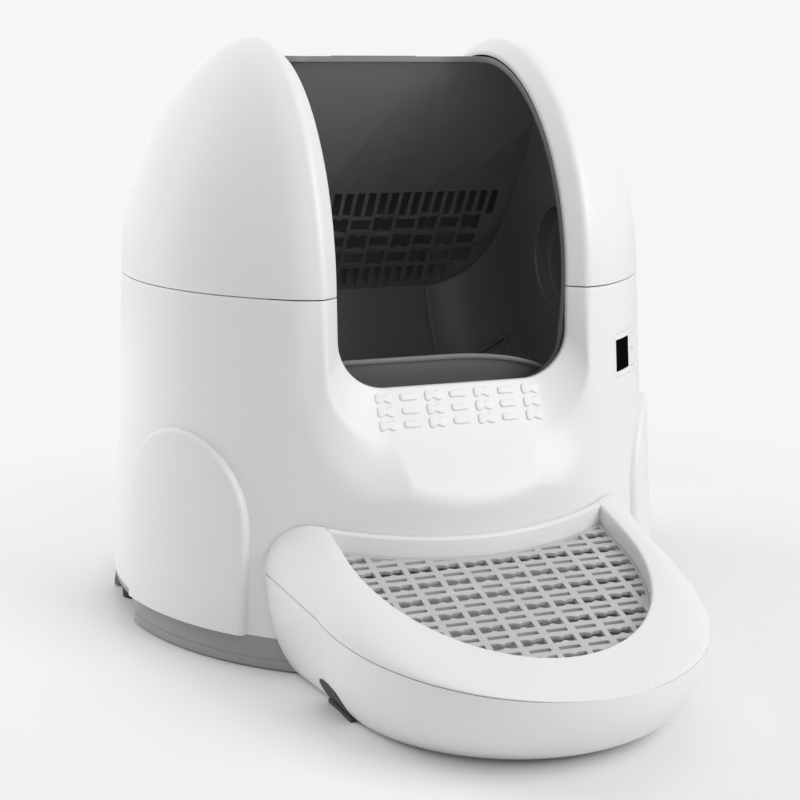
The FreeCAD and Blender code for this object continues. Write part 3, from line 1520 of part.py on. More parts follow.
def build():
    save("base_tray", base_tray())
    save("rubber_feet", rubber_feet())
    save("lower_housing", lower_housing())
    save("upper_cover", upper_cover())
    save("drum_barrel", drum_barrel())
    end = drum_end_right()
    save("drum_end_right", end)
    save("drum_end_left", mirrored(end))
    save("mouth_trim", mouth_trim())
    save("rim_tab", rim_tab())
    save("sieve_panel", sieve_panel())
    save("litter_liner", litter_liner())
    hub = hub_right()
    save("hub_right", hub)
    save("hub_left", mirrored(hub))
    nut = hub_nut_right()
    save("hub_nut_right", nut)
    save("hub_nut_left", mirrored(nut))
    bush = bush_right()
    save("bush_right", bush)
    save("bush_left", mirrored(bush))
    cap = cap_right()
    save("bearing_cap_right", cap)
    save("bearing_cap_left", mirrored(cap))
    save("cradle_right", cradle_right())
    save("cradle_left", cradle_left())
    save("ring_gear", ring_gear())
    save("ring_gear_screws", ring_gear_screws())
    save("drive_pinion", drive_pinion())
    save("gearbox", gearbox())
    save("drive_motor", drive_motor())
    save("waste_drawer", waste_drawer())
    save("bag_ring", bag_ring())
    save("filter_cartridge", filter_cartridge())
    save("waste_chute", waste_chute())
    save("pedal_upper_shell", pedal_upper_shell())
    save("pedal_lower_shell", pedal_lower_shell())
    save("pedal_feet", pedal_feet())
    save("pedal_grille", pedal_grille())
    save("pedal_screws", pedal_screws())
    save("display_bezel", display_bezel())
    save("display_lens", display_lens())
    save("upper_button", push_button(1))
    save("lower_button", push_button(-1))
    save("display_board", display_board())
    save("button_switches", button_switches())
    save("control_board", control_board())
    save("presence_sensor", presence_sensor())
    save("position_magnet", position_magnet())
    save("position_sensor", position_sensor())
    save("power_inlet", power_inlet())
    save("bracket_screws", bracket_screws())
    save("cap_screws", cap_screws())
    save("housing_screws", housing_screws())


build()
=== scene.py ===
import json
import math

import bmesh
import bpy
import numpy as np
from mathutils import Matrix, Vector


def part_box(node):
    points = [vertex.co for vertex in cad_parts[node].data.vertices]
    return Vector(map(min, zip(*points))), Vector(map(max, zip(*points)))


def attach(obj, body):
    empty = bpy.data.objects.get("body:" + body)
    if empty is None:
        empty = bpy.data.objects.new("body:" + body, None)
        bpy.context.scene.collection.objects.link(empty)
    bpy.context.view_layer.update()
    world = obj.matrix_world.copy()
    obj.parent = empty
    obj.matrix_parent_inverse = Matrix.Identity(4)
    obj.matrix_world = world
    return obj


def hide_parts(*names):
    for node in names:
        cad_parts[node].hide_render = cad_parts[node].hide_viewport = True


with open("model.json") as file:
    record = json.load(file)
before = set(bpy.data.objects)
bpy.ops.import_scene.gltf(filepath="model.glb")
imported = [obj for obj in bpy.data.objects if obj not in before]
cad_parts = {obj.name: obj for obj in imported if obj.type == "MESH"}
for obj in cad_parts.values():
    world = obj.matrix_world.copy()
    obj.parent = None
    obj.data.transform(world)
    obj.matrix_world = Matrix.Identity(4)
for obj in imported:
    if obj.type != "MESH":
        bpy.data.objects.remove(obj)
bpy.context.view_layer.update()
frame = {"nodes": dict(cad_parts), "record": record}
nodes = frame["nodes"]
record = frame["record"]
slotOfNode = {part["node"]: part["material_slot"] for part in record["subparts"]}
bodyOfNode = {name: body for body, names in record["behaviour"]["bodies"].items() for name in names}
print("frame loaded:", len(nodes), "nodes")

# The body is drawn in millimetres about its own centre line; the tray gives that line's place in the frame.
trayLow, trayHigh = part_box("base_tray")
centreY = (trayLow.y + trayHigh.y) / 2.0

shell = {
    "seam": 335.0,          # drum axis and seam between the two white shells
    "halfWidth": 260.0,
    "halfDepth": 270.0,
    "flare": 18.0,          # housing grows this much down to the skirt
    "flareFoot": 30.0,
    "skirtTop": 30.3,
    "wall": 3.0,
    "seamGap": 1.1,
    "frameEnd": 130.0,      # degrees about the drum axis where the open frame stops
    "lipReturn": 4.0,       # how far the lip's edge turns in
    "bayHalf": 144.0,       # opening for the drawer
    "bayTop": 115.0,
}
# The entry frame's lines from the lip out: half-width, distance before the drum axis, sill and corner
lip = {"half": 111.0, "radius": 215.0, "sill": 252.0, "corner": 44.0, "lean": 4.0}
ridge = {"half": 126.5, "radius": 228.0, "sill": 209.0, "corner": 57.0, "lean": 15.0}
facet = {"half": 172.0, "radius": 216.2, "sill": 121.0, "corner": 125.0, "elbow": 252.0, "reach": 308.0}
softness = {"lip": 1.4, "ridge": 5.0, "crease": 11.0}      # how far each fold is rounded off, both ways
drumMiddle = (0.0, 0.0, shell["seam"])


def linkNew(name, data):
    thing = bpy.data.objects.new(name, data)
    bpy.context.scene.collection.objects.link(thing)
    return thing


def joined(*parts):
    return np.concatenate(parts)


# Grid of points from its coordinates, each an array or a plain number.
def pointsOf(*coordinates):
    return np.stack(np.broadcast_arrays(*coordinates), -1)


def toRow(points):
    moved = np.array(points, float) / 1000.0
    moved[..., 1] += centreY
    return moved


# Each patch is a grid of points (rows, columns, 3), where a keep mask can leave out single quads.
# Patches are welded, and all faces are turned away from a middle point.
def meshFromPatches(name, patches, middle, weld):
    points, quads, start = [], [], 0
    for patch in patches:
        grid, keep = patch if isinstance(patch, tuple) else (patch, None)
        rows, columns = grid.shape[:2]
        index = start + np.arange(rows * columns).reshape(rows, columns)
        quad = np.stack([index[:-1, :-1], index[:-1, 1:], index[1:, 1:], index[1:, :-1]], -1)
        quads.append(quad[keep] if keep is not None else quad.reshape(-1, 4))
        points.append(grid.reshape(-1, 3))
        start += rows * columns
    mesh = bpy.data.meshes.new(name)
    mesh.from_pydata(toRow(np.concatenate(points)).tolist(), [], np.concatenate(quads).tolist())
    work = bmesh.new()
    work.from_mesh(mesh)
    bmesh.ops.remove_doubles(work, verts=work.verts, dist=weld / 1000.0)
    bmesh.ops.dissolve_degenerate(work, edges=work.edges, dist=1e-6)
    bmesh.ops.recalc_face_normals(work, faces=work.faces)
    centre = toRow(np.array(middle, float))
    push = sum((face.calc_center_median() - type(face.normal)(centre)).dot(face.normal) * face.calc_area()
               for face in work.faces)
    if push < 0:
        bmesh.ops.reverse_faces(work, faces=work.faces)
    work.to_mesh(mesh)
    work.free()
    return linkNew(name, mesh)


# Gives a sheet its wall and its rounded edges, and writes them into the piece's own mesh.
def finishPiece(piece, wall=0.0, side=-1.0, edge=0.0, edgeAngle=40.0, steps=2, smooth=35.0):
    if wall:
        solid = piece.modifiers.new("wall", "SOLIDIFY")
        solid.thickness = wall / 1000.0
        solid.offset = side
        solid.use_even_offset = True
        solid.use_quality_normals = True
    if edge:
        bevel = piece.modifiers.new("edge", "BEVEL")
        bevel.width = edge / 1000.0
        bevel.segments = steps
        bevel.limit_method = "ANGLE"
        bevel.angle_limit = math.radians(edgeAngle)
    if wall or edge:
        graph = bpy.context.evaluated_depsgraph_get()
        piece.data = bpy.data.meshes.new_from_object(piece.evaluated_get(graph))
        piece.modifiers.clear()
    piece.data.shade_smooth()
    piece.data.set_sharp_from_angle(angle=math.radians(smooth))
    return piece


def settle(piece, body, slot, *replaced):
    piece.data.materials.clear()
    piece.data.materials.append(finishes[slot])
    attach(piece, body)
    if replaced:
        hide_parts(*replaced)


def makePiece(name, patches, middle, body, slot, *replaced, weld=0.02, **finishing):
    settle(finishPiece(meshFromPatches(name, patches, middle, weld), **finishing), body, slot, *replaced)


dressing = {"weld": 4e-6, "flat": 0.4, "edgeAngle": 38.0, "smooth": 30.0}


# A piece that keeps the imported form: a welded copy, its flats joined, edges broken and curves smooth.
def dressNode(name, node, edge):
    mesh = nodes[node].data.copy()
    mesh.name = name
    work = bmesh.new()
    work.from_mesh(mesh)
    bmesh.ops.remove_doubles(work, verts=work.verts, dist=dressing["weld"])
    bmesh.ops.dissolve_limit(work, angle_limit=math.radians(dressing["flat"]), verts=work.verts,
                             edges=work.edges)
    work.to_mesh(mesh)
    work.free()
    piece = finishPiece(linkNew(name, mesh), edge=edge, edgeAngle=dressing["edgeAngle"],
                        smooth=dressing["smooth"])
    settle(piece, bodyOfNode[node], slotOfNode[node], node)


def nodeTree(owner):
    owner.use_nodes = True
    owner.node_tree.nodes.clear()
    return owner.node_tree


def addNode(tree, kind, **values):
    node = tree.nodes.new(kind)
    for key, value in values.items():
        if key.startswith("in_"):
            node.inputs[key[3:].replace("_", " ")].default_value = value
        else:
            setattr(node, key, value)
    return node


# Math node whose inputs are sockets or plain numbers; gives back its output.
def addMath(tree, operation, *inputs):
    node = addNode(tree, "ShaderNodeMath", operation=operation)
    for socket, value in zip(node.inputs, inputs):
        if isinstance(value, bpy.types.NodeSocket):
            tree.links.new(value, socket)
        else:
            socket.default_value = value
    return node.outputs[0]


def wire(tree, *pairs):
    for output, socket in pairs:
        tree.links.new(output, socket)


def addSockets(tree, way, kind, *labels):
    for label in labels:
        tree.interface.new_socket(label, in_out=way, socket_type="NodeSocket" + kind)


# Moulded surface: soft tone patches, fine grain and slow waviness from Object coordinates.
def mouldGroup():
    tree = bpy.data.node_groups.new("mouldedSurface", "ShaderNodeTree")
    addSockets(tree, "INPUT", "Color", "Colour")
    addSockets(tree, "INPUT", "Float", "Tone", "Roughness", "Spread", "Grain Size", "Wave Share")
    addSockets(tree, "OUTPUT", "Color", "Colour")
    addSockets(tree, "OUTPUT", "Float", "Roughness", "Height")
    source = addNode(tree, "NodeGroupInput")
    result = addNode(tree, "NodeGroupOutput")
    place = addNode(tree, "ShaderNodeTexCoord")
    patches = addNode(tree, "ShaderNodeTexNoise", in_Scale=7.0, in_Detail=3.0)
    grain = addNode(tree, "ShaderNodeTexNoise", in_Detail=2.0)
    waves = addNode(tree, "ShaderNodeTexNoise", in_Scale=45.0, in_Detail=1.0)
    centred = addMath(tree, "SUBTRACT", patches.outputs["Fac"], 0.5)
    shade = addMath(tree, "MULTIPLY_ADD", centred, source.outputs["Tone"], 1.0)
    gloss = addMath(tree, "MULTIPLY_ADD", centred, source.outputs["Spread"], source.outputs["Roughness"])
    tint = addNode(tree, "ShaderNodeVectorMath", operation="SCALE")
    blend = addNode(tree, "ShaderNodeMix", data_type="FLOAT")
    wire(tree, *[(place.outputs["Object"], texture.inputs["Vector"]) for texture in (patches, grain, waves)],
         (source.outputs["Grain Size"], grain.inputs["Scale"]),
         (source.outputs["Colour"], tint.inputs[0]), (shade, tint.inputs["Scale"]),
         (source.outputs["Wave Share"], blend.inputs[0]), (grain.outputs["Fac"], blend.inputs[2]),
         (waves.outputs["Fac"], blend.inputs[3]), (tint.outputs[0], result.inputs["Colour"]),
         (gloss, result.inputs["Roughness"]), (blend.outputs[0], result.inputs["Height"]))
    return tree


# Painted edge highlights: where the surface turns sharply outward the mask rises, broken up by noise.
def edgeGroup():
    tree = bpy.data.node_groups.new("paintedEdgeHighlights", "ShaderNodeTree")
    addSockets(tree, "INPUT", "Float", "Start", "End", "Strength")
    addSockets(tree, "OUTPUT", "Float", "Mask")
    source = addNode(tree, "NodeGroupInput")
    result = addNode(tree, "NodeGroupOutput")
    geometry = addNode(tree, "ShaderNodeNewGeometry")
    spread = addNode(tree, "ShaderNodeMapRange")
    place = addNode(tree, "ShaderNodeTexCoord")
    broken = addNode(tree, "ShaderNodeTexNoise", in_Scale=60.0, in_Detail=4.0)
    wire(tree, (geometry.outputs["Pointiness"], spread.inputs["Value"]),
         (source.outputs["Start"], spread.inputs["From Min"]),
         (source.outputs["End"], spread.inputs["From Max"]),
         (place.outputs["Object"], broken.inputs["Vector"]))
    mask = addMath(tree, "MULTIPLY", spread.outputs["Result"], broken.outputs["Fac"])
    wire(tree, (addMath(tree, "MULTIPLY", mask, source.outputs["Strength"]), result.inputs["Mask"]))
    return tree


# Where the painted edge highlights start and end on Pointiness, how much paler they are, and the depth of the
# grain
edgeHighlightAndBump = {"start": 0.52, "end": 0.62, "lift": 0.12, "gain": 1.6, "bumpDepth": 0.0004}
# Every finish starts from the plain one and says only what differs
# Each finish's edge strength sets how strongly its sharp outward edges are painted lighter, as a painted
# highlight.
plainFinish = {"tone": 0.10, "rough": 0.40, "spread": 0.10, "grain": 1300.0, "wave": 0.3, "bump": 0.10,
               "edgeHighlight": 0.2, "metal": 0.0, "gloss": 0.5, "coat": 0.0, "coatRough": 0.1}
finishTable = {
    "white_shell": {"colour": (0.84, 0.84, 0.845), "tone": 0.02, "rough": 0.38, "spread": 0.06,
                    "grain": 700.0, "wave": 0.6, "bump": 0.03, "edgeHighlight": 0.0, "coat": 0.10, "coatRough": 0.2},
    "grey_skirt": {"colour": (0.34, 0.345, 0.35), "rough": 0.5, "grain": 1400.0, "wave": 0.2, "bump": 0.12,
                   "edgeHighlight": 0.25},
    "dark_drum": {"colour": (0.235, 0.235, 0.238), "tone": 0.12, "rough": 0.44, "grain": 1500.0, "wave": 0.25,
                  "bump": 0.14},
    "liner_grey": {"colour": (0.220, 0.220, 0.224), "tone": 0.14, "rough": 0.62, "spread": 0.12,
                   "grain": 1100.0, "bump": 0.18},
    "trim_grey": {"colour": (0.170, 0.170, 0.175), "tone": 0.08, "rough": 0.42, "spread": 0.08, "bump": 0.08},
    "light_grey": {"colour": (0.53, 0.535, 0.54), "tone": 0.05, "rough": 0.42, "spread": 0.08,
                   "grain": 1200.0, "bump": 0.08, "edgeHighlight": 0.3},
    "hub_grey": {"colour": (0.20, 0.20, 0.205), "edgeHighlight": 0.4},
    "black_rubber": {"colour": (0.050, 0.050, 0.052), "tone": 0.2, "rough": 0.72, "spread": 0.15,
                     "grain": 900.0, "wave": 0.4, "bump": 0.22},
    "inner_plastic": {"colour": (0.40, 0.41, 0.42), "tone": 0.06, "rough": 0.46, "grain": 1000.0, "edgeHighlight": 0.3},
    "bearing_plastic": {"colour": (0.68, 0.67, 0.62), "tone": 0.04, "rough": 0.38, "spread": 0.08,
                        "grain": 1000.0, "wave": 0.4, "bump": 0.05},
    "black_lens": {"colour": (0.004, 0.004, 0.005), "rough": 0.45, "spread": 0.03, "grain": 300.0,
                   "wave": 0.8, "bump": 0.01, "edgeHighlight": 0.0, "gloss": 0.0},
    "circuit_board": {"colour": (0.02, 0.13, 0.06), "tone": 0.2, "spread": 0.15, "grain": 800.0, "wave": 0.2,
                      "edgeHighlight": 0.0},
    "steel": {"colour": (0.56, 0.56, 0.57), "tone": 0.05, "rough": 0.32, "spread": 0.15, "grain": 1800.0,
              "wave": 0.1, "bump": 0.05, "edgeHighlight": 0.0, "metal": 1.0},
    "black_plastic": {"colour": (0.018, 0.018, 0.019), "rough": 0.38, "bump": 0.08, "edgeHighlight": 0.3},
}


def makeFinish(slot, values):
    material = bpy.data.materials.new(slot)
    tree = nodeTree(material)
    output = addNode(tree, "ShaderNodeOutputMaterial")
    surface = addNode(tree, "ShaderNodeBsdfPrincipled", in_Metallic=values["metal"],
                      in_Specular_IOR_Level=values["gloss"], in_Coat_Weight=values["coat"],
                      in_Coat_Roughness=values["coatRough"])
    mould = addNode(tree, "ShaderNodeGroup", node_tree=moulded, in_Colour=(*values["colour"], 1.0),
                    in_Tone=values["tone"], in_Roughness=values["rough"], in_Spread=values["spread"],
                    in_Grain_Size=values["grain"], in_Wave_Share=values["wave"])
    bump = addNode(tree, "ShaderNodeBump", in_Strength=values["bump"], in_Distance=edgeHighlightAndBump["bumpDepth"])
    colour = mould.outputs["Colour"]
    # Painted highlight: sharp outward edges are mixed towards a paler colour.
    if values["edgeHighlight"]:
        edges = addNode(tree, "ShaderNodeGroup", node_tree=edgeHighlightGroup, in_Start=edgeHighlightAndBump["start"],
                        in_End=edgeHighlightAndBump["end"], in_Strength=values["edgeHighlight"])
        lighter = addNode(tree, "ShaderNodeMix", data_type="RGBA", blend_type="MIX")
        wire(tree, (edges.outputs["Mask"], lighter.inputs[0]), (colour, lighter.inputs[6]))
        paler = [min(1.0, edgeHighlightAndBump["lift"] + edgeHighlightAndBump["gain"] * part) for part in values["colour"]]
        lighter.inputs[7].default_value = (*paler, 1.0)
        colour = lighter.outputs[2]
    wire(tree, (colour, surface.inputs["Base Color"]),
         (mould.outputs["Roughness"], surface.inputs["Roughness"]),
         (mould.outputs["Height"], bump.inputs["Height"]), (bump.outputs["Normal"], surface.inputs["Normal"]),
         (surface.outputs["BSDF"], output.inputs["Surface"]))
    return material


moulded = mouldGroup()
edgeHighlightGroup = edgeGroup()
finishes = {slot: makeFinish(slot, {**plainFinish, **values}) for slot, values in finishTable.items()}
print("finishes made:", len(finishes))


# Half axes of the body's plan at a height: they grow evenly downwards, and by what stands proud of them.
def halfAxes(z, proud=0.0):
    grow = shell["flare"] * (shell["seam"] - z) / (shell["seam"] - shell["flareFoot"]) + proud
    return shell["halfWidth"] + grow, shell["halfDepth"] + grow


# Point on the housing, an ellipse in plan; turn 0 is the front and +x lies at 90 degrees.
def onBody(turn, z, proud=0.0):
    halfX, halfY = halfAxes(z, proud)
    return pointsOf(halfX * np.sin(turn), -halfY * np.cos(turn), z)


def turnOf(points):
    halfX, halfY = halfAxes(points[..., 2])
    return np.arctan2(points[..., 0] / halfX, -points[..., 1] / halfY)


# Depth of the body's front at a sideways distance, on the outline grown by a clearance.
def bodyFront(x, z, clear):
    halfX, halfY = halfAxes(z, clear)
    return -halfY * np.sqrt(np.clip(1.0 - (x / halfX) ** 2, 0.0, 1.0))


# The ellipse's own turn where the body faces a compass angle from the front.
def facingTurn(angle, z):
    halfX, halfY = halfAxes(z)
    return math.atan(math.tan(math.radians(angle)) * (halfY / halfX))


uCounts = {"side": 24, "arc": 30, "sill": 40}
mirrorX, mirrorProfile = np.array([-1.0, 1.0, 1.0]), np.array([-1.0, 1.0])


# Entry frame's outline below the seam: down the left side, round, along the sill, and up the right.
# A leaning outline moves forward in step with its depth below the seam; the facet's corner bends forward.
def uOutline(shape):
    down = np.linspace(0.0, 1.0, uCounts["side"])
    bend = np.linspace(0.0, 1.0, uCounts["arc"])[1:]
    across = np.linspace(-1.0, 1.0, uCounts["sill"])[1:-1]
    half, corner, sill, seam = shape["half"], shape["corner"], shape["sill"], shell["seam"]
    turn = bend * math.pi / 2.0
    x = joined(np.full(down.size, -half), -half + corner * (1.0 - np.cos(turn)),
               across * (half - corner))
    z = joined(seam - down * (seam - sill - corner), sill + corner * (1.0 - np.sin(turn)),
               np.full(across.size, sill))
    if "lean" in shape:
        y = -shape["radius"] - shape["lean"] * (seam - z) / (seam - sill)
    else:
        rise = shape["elbow"] - shape["radius"]
        reach = shape["reach"] - shape["radius"]
        curve = 2.0 * reach - 4.0 * rise
        y = joined(np.full(down.size, -shape["radius"]),
                   -shape["radius"] - (reach - curve) * bend - curve * bend ** 2,
                   np.full(across.size, -shape["reach"]))
    left = pointsOf(x, y, z)
    first = left[:uCounts["side"] + uCounts["arc"] - 1]
    return joined(left, first[::-1] * mirrorX)


def quarterTurn(count):
    return np.linspace(0.0, math.pi / 2.0, count)


def unit(vectors):
    return vectors / np.linalg.norm(vectors, axis=-1, keepdims=True)


# Rounded fold at a corner: a parabola from a cut before the corner to a cut after it.
def fold(before, corner, after, cut, count):
    start = corner + unit(before - corner) * cut
    end = corner + unit(after - corner) * cut
    share = np.linspace(0.0, 1.0, count)[(...,) + (None,) * corner.ndim]
    return (1 - share) ** 2 * start + 2 * share * (1 - share) * corner + share ** 2 * end


def between(start, end, count):
    share = np.linspace(0.0, 1.0, count)[(...,) + (None,) * np.ndim(start)]
    return start + (end - start) * share


# From lip to crease: three rounded folds with plain stretches of so many points between them.
def foldedFrame(back, lipLine, ridgeLine, crease, outer, stretches):
    lipFold = fold(back, lipLine, ridgeLine, softness["lip"], 4)
    ridgeFold = fold(lipLine, ridgeLine, crease, softness["ridge"], 7)
    creaseFold = fold(ridgeLine, crease, outer, softness["crease"], 8)
    return joined(back[None], lipFold, between(lipFold[-1], ridgeFold[0], stretches[0])[1:-1],
                  ridgeFold, between(ridgeFold[-1], creaseFold[0], stretches[1])[1:-1], creaseFold)


coverShape = {"sweepSteps": 120, "rearSteps": 56, "domeSteps": 60, "crossSteps": 38, "tongueSteps": 120,
              "tongueDepth": 8.0, "tongueRise": 3.0, "tongueWall": 2.0, "tongueGap": 0.3}


def ellipseRadius(x):
    return shell["halfDepth"] * np.sqrt(np.clip(1.0 - (x / shell["halfWidth"]) ** 2, 0.0, 1.0))


# Where the frame's outer facet meets the dome, by halving.
def creasePlace():
    low, high = ridge["half"], facet["half"]
    slope = (facet["radius"] - ridge["radius"]) / (facet["half"] - ridge["half"])
    for _ in range(50):
        x = (low + high) / 2.0
        inside = ridge["radius"] + slope * (x - ridge["half"]) < ellipseRadius(x)
        low, high = (x, high) if inside else (low, x)
    return np.array([x, ellipseRadius(x)])


# Profile of half the cover as (x, radius) pairs: lip, ridge and crease with rounded folds, then the dome.
def frameProfile():
    crease = creasePlace()
    lipPoint, ridgePoint = [np.array([line["half"], line["radius"]]) for line in (lip, ridge)]
    turn = math.acos(crease[0] / shell["halfWidth"])
    step = softness["crease"] / math.hypot(shell["halfWidth"] * math.sin(turn),
                                           shell["halfDepth"] * math.cos(turn))
    domeTurn = np.linspace(turn - step, 0.0, coverShape["domeSteps"])
    dome = pointsOf(shell["halfWidth"] * np.cos(domeTurn), shell["halfDepth"] * np.sin(domeTurn))
    back = lipPoint - [0.0, shell["lipReturn"]]
    return foldedFrame(back, lipPoint, ridgePoint, crease, dome[0], (6, 5)), dome[1:]


# Turns a profile of (x, radius) pairs about the drum axis through the given angles in degrees.
def turned(profile, angles):
    angle = np.radians(np.asarray(angles, float))[:, None]
    x, radius = profile.T
    return pointsOf(x, -radius * np.cos(angle), shell["seam"] + radius * np.sin(angle))


# Squeezes the cover towards its top, so that a gap opens at the seam.
def raiseCover(grid):
    seam, gap = shell["seam"], shell["seamGap"]
    lifted = grid.copy()
    lifted[..., 2] = seam + gap + (grid[..., 2] - seam) * (1.0 - gap / shell["halfDepth"])
    return lifted


def makeUpperCover():
    frameLine, dome = frameProfile()
    right = joined(frameLine, dome)
    front = np.linspace(0.0, shell["frameEnd"], coverShape["sweepSteps"])
    rear = np.linspace(shell["frameEnd"], 180.0, coverShape["rearSteps"])
    cross = pointsOf(np.linspace(-lip["half"], lip["half"], coverShape["crossSteps"] + 2)[1:-1],
                     lip["radius"] - shell["lipReturn"])
    low = joined((frameLine * mirrorProfile)[::-1], cross, frameLine)
    high = pointsOf(low[:, 0], ellipseRadius(low[:, 0]))
    high[0], high[-1] = low[0], low[-1]
    whole = joined((dome * mirrorProfile)[::-1], high, dome)
    wallGrid = np.stack([turned(low + (high - low) * share, [shell["frameEnd"]])[0]
                         for share in np.linspace(0.0, 1.0, 8)])
    patches = [turned(right, front), turned(right * mirrorProfile, front), turned(whole, rear), wallGrid]
    makePiece("upperCoverShell", [raiseCover(grid) for grid in patches], (0.0, 0.0, shell["seam"] - 60.0),
              "cover", "white_shell", "upper_cover", wall=shell["wall"], edge=0.5, edgeAngle=55.0)
    start = math.asin(facet["half"] / shell["halfWidth"])
    around = np.linspace(start, 2.0 * math.pi - start, coverShape["tongueSteps"])
    near = shell["wall"] + coverShape["tongueGap"]
    far = near + coverShape["tongueWall"]
    top, low = shell["seam"] + coverShape["tongueRise"], shell["seam"] - coverShape["tongueDepth"]
    ring = [pointsOf((shell["halfWidth"] - away) * np.sin(around),
                     -(shell["halfDepth"] - away) * np.cos(around), height)
            for away, height in ((near, top), (near, low), (far, low), (far, top))]
    makePiece("coverTongue", [np.stack(ring)], drumMiddle, "cover", "white_shell", smooth=40.0)


makeUpperCover()
print("upper cover made")


housingShape = {"sideTurn": 37.0, "rowsOut": 26, "bulgeAngle": 61.0, "bulgeWidth": 168.0, "bulgeTop": 209.0,
                "bulgeProud": 7.0, "bulgeRound": 4.0, "bulgeSunk": 1.0, "rowPower": 1.3}
panel = {"angle": 43.8, "width": 66.0, "height": 42.0, "level": 266.0, "lensAngle": 41.3, "lensWidth": 35.0,
         "lensHeight": 30.5, "buttonAngle": 48.1, "button": 15.5, "gap": 2.0, "play": 0.3, "meanGrow": 4.0,
         "lensPlay": 0.15, "buttonPlay": 0.8, "thick": 2.6, "lensThick": 1.8, "lensSunk": 0.15, "proud": 0.05}
socket = {"radius": 6.3, "half": 8.0, "side": 90.0, "level": 62.0}


def panelTurns(angle, width):
    middle = facingTurn(angle, panel["level"])
    half = width / 2.0 / halfAxes(panel["level"], panel["meanGrow"])[0]
    return middle - half, middle + half


# Where the facet's line from ridge to outer outline meets the body's ellipse, by halving.
def creaseLine(start, end):
    low, high = np.zeros(len(start)), np.ones(len(start))
    for _ in range(40):
        share = (low + high) / 2.0
        point = start + (end - start) * share[:, None]
        halfX, halfY = halfAxes(point[:, 2])
        out = (point[:, 0] / halfX) ** 2 + (point[:, 1] / halfY) ** 2 > 1.0
        high = np.where(out, share, high)
        low = np.where(out, low, share)
    return point


# Middles of a grid's quads.
def middles(grid):
    return (grid[:-1, :-1] + grid[1:, 1:]) / 2.0


# Even steps from a first value to each end in turn.
def ladder(first, *stretches):
    values = [first]
    for end, steps in stretches:
        values.extend(np.linspace(values[-1], end, steps + 1)[1:])
    return np.array(values)


# Levels of the housing's grid, above and below the top of the drawer's bay.
def edgeLevels():
    level, half = panel["level"], panel["height"] / 2.0
    upper = ladder(shell["seam"], (level + half, 8), (level - half, 8), (shell["bayTop"], 25))
    level, half = socket["level"], socket["half"]
    lower = ladder(shell["bayTop"], (level + half, 6), (level - half, 1), (shell["skirtTop"], 4))
    return upper, lower[1:]


# Arch bulge: rings from a spine out to the arch on the grown body, over a round edge and into the wall.
def bulgeGrid(sign):
    half, edge = housingShape["bulgeWidth"] / 2.0, housingShape["bulgeRound"]
    spring = housingShape["bulgeTop"] - half
    sideZ = np.linspace(shell["skirtTop"], spring, 26)
    arc = np.linspace(math.pi, 0.0, 61)[1:-1]
    outW = joined(np.full(sideZ.size, -half), half * np.cos(arc), np.full(sideZ.size, half))
    outZ = joined(sideZ, spring + half * np.sin(arc), sideZ[::-1])
    spineZ = np.minimum(outZ, spring)
    inward = unit(pointsOf(-outW, spineZ - outZ))
    bend = quarterTurn(7)[1:]
    away = joined(np.linspace(half, edge, 14), edge * (1.0 - np.sin(bend)), [0.0])
    proud = joined(np.full(14, housingShape["bulgeProud"]),
                   housingShape["bulgeProud"] - edge * (1.0 - np.cos(bend)),
                   [-housingShape["bulgeSunk"]])
    w = outW + inward[:, 0] * away[:, None]
    z = outZ + inward[:, 1] * away[:, None]
    turn = math.radians(sign * housingShape["bulgeAngle"])
    sideX, sideY, outX, outY = math.cos(turn), math.sin(turn), math.sin(turn), -math.cos(turn)
    halfX, halfY = halfAxes(z, proud[:, None])
    square = (outX / halfX) ** 2 + (outY / halfY) ** 2
    cross = w * (sideX * outX / halfX ** 2 + sideY * outY / halfY ** 2)
    rest = w ** 2 * ((sideX / halfX) ** 2 + (sideY / halfY) ** 2) - 1.0
    reach = (-cross + np.sqrt(cross ** 2 - square * rest)) / square
    return pointsOf(w * sideX + reach * outX, w * sideY + reach * outY, z)


